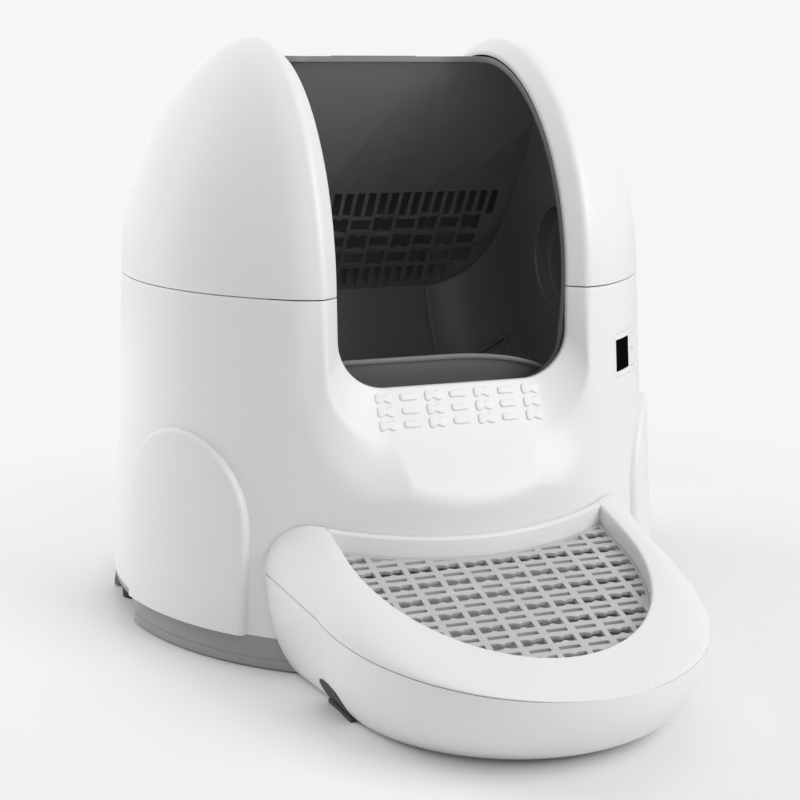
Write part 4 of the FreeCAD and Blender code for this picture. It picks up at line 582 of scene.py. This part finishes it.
# Housing: the frame's folds, a field from its crease out to a grid of turns and levels, cheeks beside the
# drawer's bay, and the grid round the back with the panel's window and the eye of the power inlet.
def makeLowerHousing():
    lipLine, ridgeLine, facetLine = uOutline(lip), uOutline(ridge), uOutline(facet)
    crease = creaseLine(ridgeLine, facetLine)
    columns = uCounts["side"] + uCounts["arc"] - 1
    upper, lower = edgeLevels()
    sideTurn = math.radians(housingShape["sideTurn"])
    bayTurn = math.asin(shell["bayHalf"] / halfAxes(shell["bayTop"])[0])
    bottom = np.linspace(-sideTurn, -bayTurn, columns - upper.size + 1)[1:]
    leftTurn = joined(np.full(upper.size, -sideTurn), bottom)
    leftZ = joined(upper, np.full(bottom.size, shell["bayTop"]))
    across = np.linspace(-bayTurn, bayTurn, uCounts["sill"])[1:-1]
    endTurn = joined(leftTurn, across, -leftTurn[::-1])
    endZ = joined(leftZ, np.full(across.size, shell["bayTop"]), leftZ[::-1])
    creaseTurn, creaseZ = turnOf(crease), crease[:, 2]
    length = np.linalg.norm(onBody(endTurn, endZ) - crease, axis=-1)
    first = softness["crease"] / length
    steps = np.linspace(0.0, 1.0, housingShape["rowsOut"])[:, None] ** housingShape["rowPower"]
    share = first + (1.0 - first) * steps
    outer = onBody(creaseTurn + (endTurn - creaseTurn) * share, creaseZ + (endZ - creaseZ) * share)
    back = lipLine + [0.0, shell["lipReturn"], 0.0]
    funnel = foldedFrame(back, lipLine, ridgeLine, crease, outer[0], (8, 9))
    funnel[-1] = outer[0]
    lowZ = joined([shell["bayTop"]], lower)
    edges = np.arcsin(shell["bayHalf"] / halfAxes(lowZ)[0])
    cheekShare = joined([0.0], (bottom + sideTurn) / (sideTurn - bayTurn))
    cheekTurn = -sideTurn + (sideTurn - edges)[:, None] * cheekShare
    cheek = onBody(cheekTurn, lowZ[:, None])
    windowLow, windowHigh = panelTurns(panel["angle"], panel["width"])
    halfX, halfY = halfAxes(socket["level"])
    socketMiddle = math.pi - math.asin(socket["side"] / halfX)
    socketLow, socketHigh = socketMiddle - socket["half"] / halfY, socketMiddle + socket["half"] / halfY
    around = ladder(sideTurn, (windowLow, 2), (windowHigh, 8), (socketLow, 55), (socketHigh, 1),
                    (2.0 * math.pi - sideTurn, 83))
    levels = joined(upper, lower)
    turnGrid, levelGrid = np.meshgrid(around, levels)
    midTurn, midLevel = middles(turnGrid), middles(levelGrid)
    window = abs(midLevel - panel["level"]) < panel["height"] / 2.0
    window = window & (midTurn > windowLow) & (midTurn < windowHigh)
    hole = abs(midLevel - socket["level"]) < socket["half"]
    hole = hole & (midTurn > socketLow) & (midTurn < socketHigh)
    angle = np.linspace(0.0, 2.0 * math.pi, 49)
    square = socket["half"] / np.maximum(abs(np.cos(angle)), abs(np.sin(angle)))
    reach = between(np.full(angle.size, socket["radius"]), square, 4)
    eye = onBody(socketMiddle + reach * np.cos(angle) / halfY, socket["level"] + reach * np.sin(angle))
    patches = [funnel, outer, cheek, cheek * mirrorX, (onBody(turnGrid, levelGrid), ~(window | hole)), eye,
               bulgeGrid(-1), bulgeGrid(1)]
    makePiece("lowerHousingShell", patches, (0.0, 0.0, 150.0), "base", "white_shell", "lower_housing",
              wall=shell["wall"], edge=0.5, edgeAngle=55.0)


makeLowerHousing()
print("lower housing made")

relief = {"rows": 3, "columns": 7, "pitch": 23.7, "length": 17.0, "bone": 11.0, "waist": 0.5, "bar": 7.0,
          "height": 1.5, "round": 1.3, "room": 3.85, "first": 0.74, "points": 41,
          "square": 0.5, "waistReach": 0.2, "sunk": 0.6, "innerRing": 0.45}


# Closed outline of a bone or a bar: a squared oval, drawn in at its middle by a bell curve.
def boneOutline(length, width, waist):
    angle = np.linspace(0.0, 2.0 * math.pi, relief["points"])
    u = length / 2.0 * np.sign(np.cos(angle)) * abs(np.cos(angle)) ** relief["square"]
    v = width / 2.0 * np.sign(np.sin(angle)) * abs(np.sin(angle)) ** relief["square"]
    return u, v * (1.0 - waist * np.exp(-(u / (length * relief["waistReach"])) ** 2))


# Puffed pad: shrinking copies of an outline climb a quarter round and close over the middle.
def puffGrid(centre, along, across, out, outline):
    u, v = outline
    reach = np.hypot(u, v)
    bend = np.linspace(0.15, math.pi / 2.0, 5)
    climb = joined([-relief["sunk"], 0.0], np.sin(bend) * relief["height"],
                   np.full(2, relief["height"]))
    inset = joined([0.0, 0.0], relief["round"] * (1.0 - np.cos(bend)))
    scale = joined(1.0 - inset[:, None] / reach, [np.full(reach.size, relief["innerRing"]),
                                                  np.zeros(reach.size)])
    u, v = (u * scale)[..., None], (v * scale)[..., None]
    return centre + along * u + across * v + out * climb[:, None, None]


def makeLedgeRelief():
    top, low = [np.array([0.0, -line["radius"] - line["lean"], line["sill"]]) for line in (lip, ridge)]
    length = np.linalg.norm(low - top)
    down = (low - top) / length
    side = np.array([1.0, 0.0, 0.0])
    out = np.cross(down, side)
    rowPitch = length / relief["room"]
    grids = []
    for row in range(relief["rows"]):
        for column in range(relief["columns"]):
            aside = (column - (relief["columns"] - 1) / 2.0) * relief["pitch"]
            centre = top + down * (row + relief["first"]) * rowPitch + side * aside
            width, waist = (relief["bar"], 0.0) if column % 2 else (relief["bone"], relief["waist"])
            grids.append(puffGrid(centre, side, down, out, boneOutline(relief["length"], width, waist)))
    makePiece("ledgeBones", grids, top + [0.0, 40.0, -60.0], "base", "white_shell", weld=0.005, smooth=60.0)


makeLedgeRelief()
print("ledge relief made")


# Display panel: a plate on the body's grid, and a lens and two caps with some play in its openings.
def makePanel():
    lensLow, lensHigh = panelTurns(panel["lensAngle"], panel["lensWidth"])
    keyLow, keyHigh = panelTurns(panel["buttonAngle"], panel["button"])
    frameLow, frameHigh = panelTurns(panel["angle"], panel["width"] - 2.0 * panel["play"])
    level, halfLens, halfGap = panel["level"], panel["lensHeight"] / 2.0, panel["gap"] / 2.0
    halfKeys = halfGap + panel["button"]
    halfPanel = panel["height"] / 2.0 - panel["play"]
    turns = joined([frameLow], np.linspace(lensLow, lensHigh, 9), np.linspace(keyLow, keyHigh, 5),
                   [frameHigh])
    heights = np.array([halfGap, halfLens, halfKeys, halfPanel])
    levels = level + joined(-heights[::-1], heights)
    turnGrid, levelGrid = np.meshgrid(turns, levels)
    midTurn, midLevel = middles(turnGrid), abs(middles(levelGrid) - level)
    lens = (midTurn > lensLow) & (midTurn < lensHigh) & (midLevel < halfLens)
    keys = (midTurn > keyLow) & (midTurn < keyHigh) & (midLevel < halfKeys) & (midLevel > halfGap)
    plate = (onBody(turnGrid, levelGrid, panel["proud"]), ~(lens | keys))
    middle = (0.0, 0.0, level)
    makePiece("displayBezelPlate", [plate], middle, "base", "white_shell", "display_bezel",
              wall=panel["thick"], edge=0.25)

    def tile(low, high, bottom, top, lift, play):
        shrink = play / shell["halfDepth"]
        return [onBody(*np.meshgrid(np.linspace(low + shrink, high - shrink, 9),
                                    np.linspace(level + bottom + play, level + top - play, 5)), lift)]

    lens = tile(lensLow, lensHigh, -halfLens, halfLens, -panel["lensSunk"], panel["lensPlay"])
    makePiece("displayLensTile", lens, middle, "base", "black_lens", "display_lens", wall=panel["lensThick"],
              edge=0.35)
    for name, node, low, high in (("upperButtonCap", "upper_button", halfGap, halfKeys),
                                  ("lowerButtonCap", "lower_button", -halfKeys, -halfGap)):
        cap = tile(keyLow, keyHigh, low, high, 0.0, panel["buttonPlay"])
        makePiece(name, cap, middle, node, "white_shell", node, wall=panel["thick"], edge=0.35)


makePanel()
print("display panel made")

pedal = {"rearLine": 238.0, "levelLine": 342.0, "seam": 84.0, "seamSlope": 0.055, "seamGap": 1.1,
         "floor": 3.0, "wall": 3.0, "gap": 0.9, "rimHeight": 116.0, "rimSlope": 0.22, "land": 6.0,
         "landRound": 2.6, "collar": 20.8, "ledge": 5.0, "stripWidth": 6.6, "sideSteps": 26,
         "frontSteps": 90, "domeRows": 34, "bowlRows": 26, "rearSteps": 60,
         # the bowl's width, rear width and reach against the seam's, at its foot and at its belly
         "foot": (0.86, 0.9, 56.0), "belly": (0.965, 0.975, 17.0), "bellyLevel": 0.42,
         "middle": (0.0, -380.0, 60.0)}
# Plans of seam and opening: half-width, half-width at the rear, shoulder, reach; which of them an inset moves
seamPlan, openPlan = np.array([166.5, 178.0, 332.0, 536.0]), np.array([130.5, 131.5, 298.0, 478.0])
movedByInset = np.array([1.0, 1.0, 0.0, 1.0])


def pedalSeam(y):
    return pedal["seam"] + pedal["seamSlope"] * (y + pedal["levelLine"])


def pedalRim(y):
    return pedal["rimHeight"] + pedal["rimSlope"] * (y + pedal["levelLine"])


# Plan outline: straight tapering sides from the body forward to the shoulder, then half an ellipse.
def pedalOutline(plan, level):
    half, rear, shoulder, reach = plan
    taper = (rear - half) / (shoulder - pedal["rearLine"])
    back = -pedal["rearLine"]
    for _ in range(12):
        back = float(bodyFront(half + taper * (back + shoulder), level(back), pedal["gap"]))
    y = np.linspace(back, -shoulder, pedal["sideSteps"])[:-1]
    left = -(half + taper * (y + shoulder))
    sweep = np.linspace(0.0, math.pi, pedal["frontSteps"])
    allX = joined(left, -half * np.cos(sweep), -left[::-1])
    allY = joined(y, -shoulder - (reach - shoulder) * np.sin(sweep), y[::-1])
    return pointsOf(allX, allY, level(allY))


# Wall towards the body: each row spans between the outline's two rear ends along the body's oval.
def rearWall(grid):
    share = np.linspace(-1.0, 1.0, pedal["rearSteps"])
    x, z = grid[:, -1:, 0] * share, grid[:, -1:, 2]
    return pointsOf(x, bodyFront(x, z, pedal["gap"]), z)


# Upper shell: a quarter oval from the seam, where it is steep, to the flat rim, then round into the collar.
def makePedalTop():
    landPlan = openPlan + pedal["land"] * movedByInset
    rows = []
    for turn in quarterTurn(pedal["domeRows"]):
        inwards, climb = 1.0 - math.cos(turn), math.sin(turn)
        rows.append(pedalOutline(seamPlan + (landPlan - seamPlan) * inwards,
                                 lambda y: pedalSeam(y) + (pedalRim(y) - pedalSeam(y)) * climb))
    dome = np.stack(rows)
    bend = quarterTurn(6)
    land, landRound, ledge, collar = [pedal[key] for key in ("land", "landRound", "ledge", "collar")]
    inward = joined([land - landRound - 1.0], land - landRound * (1.0 - np.sin(bend)),
                    np.full(5, land), [land + ledge])
    drop = joined([0.0], landRound * (1.0 - np.cos(bend)), np.linspace(landRound, collar, 6)[1:],
                  [collar])
    rows = [rows[-1]]
    for inset, fall in zip(inward, drop):
        rows.append(pedalOutline(landPlan - inset * movedByInset, lambda y: pedalRim(y) - fall))
    rim = np.stack(rows)
    x = np.linspace(-openPlan[0] - 2.0, openPlan[0] + 2.0, 61)
    wide, foot = pedal["stripWidth"], collar + pedal["wall"]
    section = [(0.0, foot), (0.0, 0.8), (0.8, 0.0), (wide - 1.6, 0.0), (wide - 0.5, 0.5), (wide, 1.6),
               (wide, collar), (wide + ledge, collar), (wide + ledge, foot)]
    strip = []
    for deep, fall in section:
        y = bodyFront(x, pedal["rimHeight"], pedal["gap"] + deep)
        for _ in range(3):
            y = bodyFront(x, pedalRim(y), pedal["gap"] + deep)
        strip.append(pointsOf(x, y, pedalRim(y) - fall))
    ends = dome[:, 0]
    level = between(pedalSeam(ends[:, 1]), ends[:, 2], 7)
    cap = pointsOf(ends[:, 0], bodyFront(ends[:, 0], level, pedal["gap"]), level)
    cap[-1] = ends
    makePiece("pedalTopShell", [dome, rim, cap, cap * mirrorX], pedal["middle"], "drawer", "white_shell",
              "pedal_upper_shell", wall=pedal["wall"], edge=0.5, edgeAngle=50.0)
    makePiece("pedalRearStrip", [np.stack(strip)], (0.0, -285.0, 100.0), "drawer", "white_shell", smooth=50.0)


# Lower shell: outlines at floor, belly and seam, joined by the parabola through all three.
def makePedalBowl():
    rows = []
    plans = [seamPlan * [wide, rear, 1.0, 1.0] - [0.0, 0.0, 0.0, back]
             for wide, rear, back in (pedal["foot"], pedal["belly"])]
    for share in np.linspace(0.0, 1.0, pedal["bowlRows"]):
        low, high = 2.0 * (share - 0.5) * (share - 1.0), 2.0 * share * (share - 0.5)
        middle = 4.0 * share * (1.0 - share)
        rows.append(pedalOutline(low * plans[0] + middle * plans[1] + high * seamPlan,
                                 lambda y: low * pedal["floor"] + middle * pedal["bellyLevel"] * pedalSeam(y)
                                 + high * (pedalSeam(y) - pedal["seamGap"])))
    bowl = np.stack(rows)
    half = bowl.shape[1] // 2
    floor = between(bowl[0, :half + 1], bowl[0, ::-1][:half + 1], 16)
    makePiece("pedalBowlShell", [bowl, floor, rearWall(bowl)], pedal["middle"], "drawer", "white_shell",
              "pedal_lower_shell", wall=pedal["wall"], edge=0.5, edgeAngle=50.0)


makePedalTop()
makePedalBowl()
print("pedal shells made")


drum = {"radius": 205.0, "wall": 3.0, "half": 200.0, "round": 75.0, "straight": 125.0, "core": 130.0,
        "well": 53.0, "wellDepth": 17.0, "wellRound": 2.4, "shaft": 20.05, "lap": 0.1, "steps": 144}


# End of the drum, turned about the axis: a quarter round from barrel to flat end, then down into the well.
def makeDrumEnds():
    bend = quarterTurn(24)
    quarter = pointsOf(drum["straight"] + drum["round"] * np.sin(bend),
                       drum["core"] + drum["round"] * np.cos(bend))
    quarter[0, 0] += drum["lap"]
    deep = drum["half"] + drum["wellDepth"]
    rimPoint, deepPoint, hole = np.array([(drum["half"], drum["well"]), (deep, drum["well"]),
                                          (deep, drum["shaft"])])
    edge = fold(quarter[-1], rimPoint, deepPoint, drum["wellRound"], 5)
    heel = fold(rimPoint, deepPoint, hole, drum["wellRound"], 5)
    profile = joined(quarter, between(quarter[-1], edge[0], 8)[1:-1], edge, heel,
                     between(heel[-1], hole, 4)[1:])
    angles = np.linspace(0.0, 360.0, drum["steps"] + 1)
    for sign, name, node in ((1.0, "drumEndRight", "drum_end_right"), (-1.0, "drumEndLeft", "drum_end_left")):
        makePiece(name, [turned(profile * [sign, 1.0], angles)], drumMiddle, "drum", "dark_drum", node,
                  wall=drum["wall"], side=1.0, edge=0.4, edgeAngle=55.0)


# Mouth in the barrel: half-width, first and last degree, corner, and its bead as pairs of inset and height
mouth = {"half": 112.5, "low": -27.5, "high": 93.0, "corner": 43.0, "margin": 7.0, "straight": 22, "arc": 9,
         "bead": ((-0.3, -1.2), (-0.3, 3.4), (0.3, 4.5), (1.2, 4.5), (1.9, 3.6), (1.9, -1.2), (-0.3, -1.2))}


# Rounded rectangle in (x, arc length) about four corner middles: half a corner, a side, half a corner...
def mouthOutline(inset):
    low = math.radians(mouth["low"]) * drum["radius"] + inset
    high = math.radians(mouth["high"]) * drum["radius"] - inset
    corner = mouth["corner"] - inset
    side = mouth["half"] - inset - corner
    centres = [(-side, low + corner), (side, low + corner), (side, high - corner), (-side, high - corner)]
    groups = []
    for index in range(4):
        first = math.radians(225.0 + 90.0 * index)
        bend = np.linspace(first, first + math.pi / 4.0, mouth["arc"])
        start = centres[index] + corner * pointsOf(np.cos(bend), np.sin(bend))
        bend = bend + math.pi / 4.0
        end = centres[(index + 1) % 4] + corner * pointsOf(np.cos(bend), np.sin(bend))
        groups.append(joined(start, between(start[-1], end[0], mouth["straight"])[1:-1], end))
    return groups


# Rolls pairs of x and arc length about the drum axis.
def rolled(pairs, radius):
    angle = pairs[..., 1] / drum["radius"]
    return pointsOf(pairs[..., 0], -radius * np.cos(angle), shell["seam"] + radius * np.sin(angle))


# Barrel: a patch between the mouth's outline and a rectangle round it, and a plain band round the rest.
def makeDrumBarrel():
    half, radius = drum["straight"], drum["radius"]
    low = math.radians(mouth["low"] - mouth["margin"]) * radius
    high = math.radians(mouth["high"] + mouth["margin"]) * radius
    corners = np.array([(-half, low), (half, low), (half, high), (-half, high), (-half, low)])
    inner = mouthOutline(0.0)
    outer = [between(corners[index], corners[index + 1], len(inner[index])) for index in range(4)]
    across = np.linspace(-half, half, len(inner[0]))
    along = np.linspace(high, 2.0 * math.pi * radius + low, 110)
    around = rolled(between(np.concatenate(inner), np.concatenate(outer), 4), radius)
    band = rolled(np.stack(np.meshgrid(across, along), -1), radius)
    makePiece("drumBarrelShell", [around, band], drumMiddle, "drum", "dark_drum", "drum_barrel",
              wall=drum["wall"], side=1.0, edge=0.3, edgeAngle=55.0)
    loops = []
    for inset, rise in mouth["bead"]:
        outline = np.concatenate(mouthOutline(inset))
        loops.append(rolled(joined(outline, outline[:1]), radius + rise))
    makePiece("mouthTrimBead", [np.stack(loops)], (0.0, -120.0, shell["seam"] + 60.0), "drum", "trim_grey",
              "mouth_trim", weld=0.01, smooth=50.0)


makeDrumEnds()
makeDrumBarrel()
print("drum shells made")

liner = {"gap": 0.3, "wall": 3.5, "rear": 221.0, "front": 327.5, "low": 156.25, "steps": 70, "bead": 2.3,
         "beadWall": 7.1, "lap": 0.2, "flapLeft": -124.0, "flapRight": 112.0, "roundLeft": 30.0,
         "roundRight": 110.0, "flapTop": 274.0, "flapFoot": 243.0, "flapRadius": 201.6, "flapWall": 3.5,
         "rim": 5.5, "rimProud": 2.6}


# The drum's inner profile, drawn in by a gap, from one end wall over the barrel to the other.
def linerProfile(gap):
    radius = drum["round"] - gap
    bend = np.linspace(math.asin((liner["low"] - drum["core"]) / radius), math.pi / 2.0, 26)
    right = pointsOf(drum["straight"] + radius * np.cos(bend), drum["core"] + radius * np.sin(bend))
    left = right * mirrorProfile
    return joined(right, between(right[-1], left[-1], 14)[1:-1], left[::-1])


# Mat on the drum floor with a bead at its rear, and in front a flap whose shoulders fall as quarter ovals.
def makeLiner():
    mat = turned(linerProfile(liner["gap"]), np.linspace(liner["rear"], liner["front"], liner["steps"]))
    makePiece("litterLinerMat", [mat], drumMiddle, "drum", "liner_grey", "litter_liner", wall=liner["wall"],
              edge=0.8, edgeAngle=50.0)
    bead = turned(linerProfile(liner["gap"] + liner["lap"]),
                  np.linspace(liner["rear"] - liner["lap"] / 2.0, liner["rear"] + liner["bead"], 5))
    makePiece("litterLinerBead", [bead], drumMiddle, "drum", "liner_grey", wall=liner["beadWall"],
              edge=1.4, edgeAngle=50.0, steps=3)
    x = np.linspace(liner["flapLeft"], liner["flapRight"], 121)
    leftPart = np.clip((liner["flapLeft"] + liner["roundLeft"] - x) / liner["roundLeft"], 0.0, 1.0)
    rightPart = np.clip((x - liner["flapRight"] + liner["roundRight"]) / liner["roundRight"], 0.0, 1.0)
    full = liner["flapTop"] - liner["flapFoot"]
    tall = full * np.sqrt(1.0 - np.maximum(leftPart, rightPart) ** 2) + liner["lap"]
    outside, inside, rim = liner["flapRadius"], liner["flapRadius"] - liner["flapWall"], liner["rim"]
    proud = outside + liner["rimProud"]
    section = ((inside, 99.0), (inside, 1.2), (inside + 1.0, 0.2), (outside + 0.3, 0.0), (proud - 0.7, 0.5),
               (proud, 1.6), (proud, rim - 1.6), (proud - 0.7, rim - 0.5), (outside, rim),
               (outside, rim + 0.8), (outside, 99.0), (inside, 99.0))
    rows = []
    for radius, drop in section:
        z = liner["flapFoot"] + np.maximum(tall - drop, 0.0)
        rows.append(pointsOf(x, -np.sqrt(radius ** 2 - (z - shell["seam"]) ** 2), z))
    makePiece("litterLinerFlap", [np.stack(rows)], (0.0, -190.0, 258.0), "drum", "liner_grey", weld=0.01,
              smooth=50.0)


makeLiner()
print("liner made")

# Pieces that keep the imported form: name, node and how far the edges are broken
dressed = (
    ("rimTabPlate", "rim_tab", 0.6),
    ("sievePanelPlate", "sieve_panel", 0.45),
    ("hubDiscRight", "hub_right", 0.6),
    ("hubDiscLeft", "hub_left", 0.6),
    ("baseTrayMoulding", "base_tray", 0.8),
    ("rubberFeetPads", "rubber_feet", 0.8),
    ("pedalFeetPads", "pedal_feet", 0.8),
    ("pedalGrillePlate", "pedal_grille", 0.7),
    ("wasteDrawerTub", "waste_drawer", 0.6),
    ("bagRingFrame", "bag_ring", 0.4),
    ("wasteChuteDeck", "waste_chute", 0.6),
    ("cradlePlateRight", "cradle_right", 0.5),
    ("cradlePlateLeft", "cradle_left", 0.5),
    ("powerInletJack", "power_inlet", 0.3),
)
for name, node, edge in dressed:
    dressNode(name, node, edge)
print("packed forms dressed:", len(dressed))

# Every node that still shows takes the finish of its slot.
for node, piece in nodes.items():
    if not piece.hide_render:
        piece.data.materials.clear()
        piece.data.materials.append(finishes[slotOfNode[node]])
print("shown nodes finished")


studio = {"paper": 0.922, "floorTone": 0.90, "floorRough": 0.14, "floorIor": 1.08, "floorNear": 0.34,
          "floorFar": 1.0, "floorHalf": 9.0, "ambient": 0.45, "aimHeight": 0.32}
lamps = {"keyPanel": {"place": (1.6, -1.9, 1.9), "size": (2.0, 2.0), "power": 46.0, "inGloss": True},
         "rimPanel": {"place": (-1.5, 1.38, 0.9), "size": (1.2, 1.5), "power": 23.0, "inGloss": False},
         "topPanel": {"place": (0.1, 0.5, 2.3), "size": (1.8, 1.8), "power": 9.0, "inGloss": False}}
view = {"sensor": 36.0, "lens": 69.78, "place": (-0.5083, -1.5059, 0.5327), "tilt": 77.915, "turn": -19.453}


def grey(tone):
    return tone, tone, tone, 1.0


# Floor: paper with a faint shine under the object; further out the camera sees it as bright as the world.
def makeFloor():
    half = studio["floorHalf"]
    mesh = bpy.data.meshes.new("studioFloor")
    mesh.from_pydata([(-half, -half, 0.0), (half, -half, 0.0), (half, half, 0.0), (-half, half, 0.0)], [],
                     [(0, 1, 2, 3)])
    floor = linkNew("studioFloor", mesh)
    material = bpy.data.materials.new("studioPaper")
    tree = nodeTree(material)
    output = addNode(tree, "ShaderNodeOutputMaterial")
    paper = addNode(tree, "ShaderNodeBsdfPrincipled", in_Base_Color=grey(studio["floorTone"]),
                    in_Roughness=studio["floorRough"], in_IOR=studio["floorIor"])
    glow = addNode(tree, "ShaderNodeEmission", in_Color=grey(studio["paper"]))
    mix = addNode(tree, "ShaderNodeMixShader")
    place = addNode(tree, "ShaderNodeTexCoord")
    length = addNode(tree, "ShaderNodeVectorMath", operation="LENGTH")
    fade = addNode(tree, "ShaderNodeMapRange", interpolation_type="SMOOTHSTEP",
                   in_From_Min=studio["floorNear"], in_From_Max=studio["floorFar"])
    path = addNode(tree, "ShaderNodeLightPath")
    share = addMath(tree, "MULTIPLY", fade.outputs["Result"], path.outputs["Is Camera Ray"])
    wire(tree, (place.outputs["Object"], length.inputs[0]), (length.outputs["Value"], fade.inputs["Value"]),
         (share, mix.inputs[0]), (paper.outputs[0], mix.inputs[1]), (glow.outputs[0], mix.inputs[2]),
         (mix.outputs[0], output.inputs["Surface"]))
    mesh.materials.append(material)


# The world shows paper white to the camera and to gloss, and lights the object at a plain level.
def makeWorld():
    world = bpy.data.worlds.new("studioWorld")
    bpy.context.scene.world = world
    tree = nodeTree(world)
    output = addNode(tree, "ShaderNodeOutputWorld")
    light = addNode(tree, "ShaderNodeBackground", in_Color=grey(1.0), in_Strength=studio["ambient"])
    seen = addNode(tree, "ShaderNodeBackground", in_Color=grey(studio["paper"]))
    path = addNode(tree, "ShaderNodeLightPath")
    mix = addNode(tree, "ShaderNodeMixShader")
    direct = addMath(tree, "MAXIMUM", path.outputs["Is Camera Ray"], path.outputs["Is Glossy Ray"])
    wire(tree, (direct, mix.inputs[0]), (light.outputs[0], mix.inputs[1]), (seen.outputs[0], mix.inputs[2]),
         (mix.outputs[0], output.inputs["Surface"]))


def addLamp(name, values):
    data = bpy.data.lights.new(name, "AREA")
    data.shape = "RECTANGLE"
    data.size, data.size_y = values["size"]
    data.energy = values["power"]
    lamp = linkNew(name, data)
    lamp.location = values["place"]
    aim = np.array([0.0, centreY, studio["aimHeight"]]) - values["place"]
    tilt = math.acos(-aim[2] / np.linalg.norm(aim))
    lamp.rotation_euler = (tilt, 0.0, math.atan2(aim[1], aim[0]) - math.pi / 2.0)
    lamp.visible_glossy = values["inGloss"]


def makeCamera():
    data = bpy.data.cameras.new("photoCamera")
    data.sensor_width, data.lens = view["sensor"], view["lens"]
    camera = linkNew("photoCamera", data)
    camera.location = np.add(view["place"], (0.0, centreY, 0.0))
    camera.rotation_euler = (math.radians(view["tilt"]), 0.0, math.radians(view["turn"]))
    bpy.context.scene.camera = camera


makeFloor()
makeWorld()
for name, values in lamps.items():
    addLamp(name, values)
makeCamera()
bpy.context.scene.view_settings.view_transform = "Standard"
print("studio made")
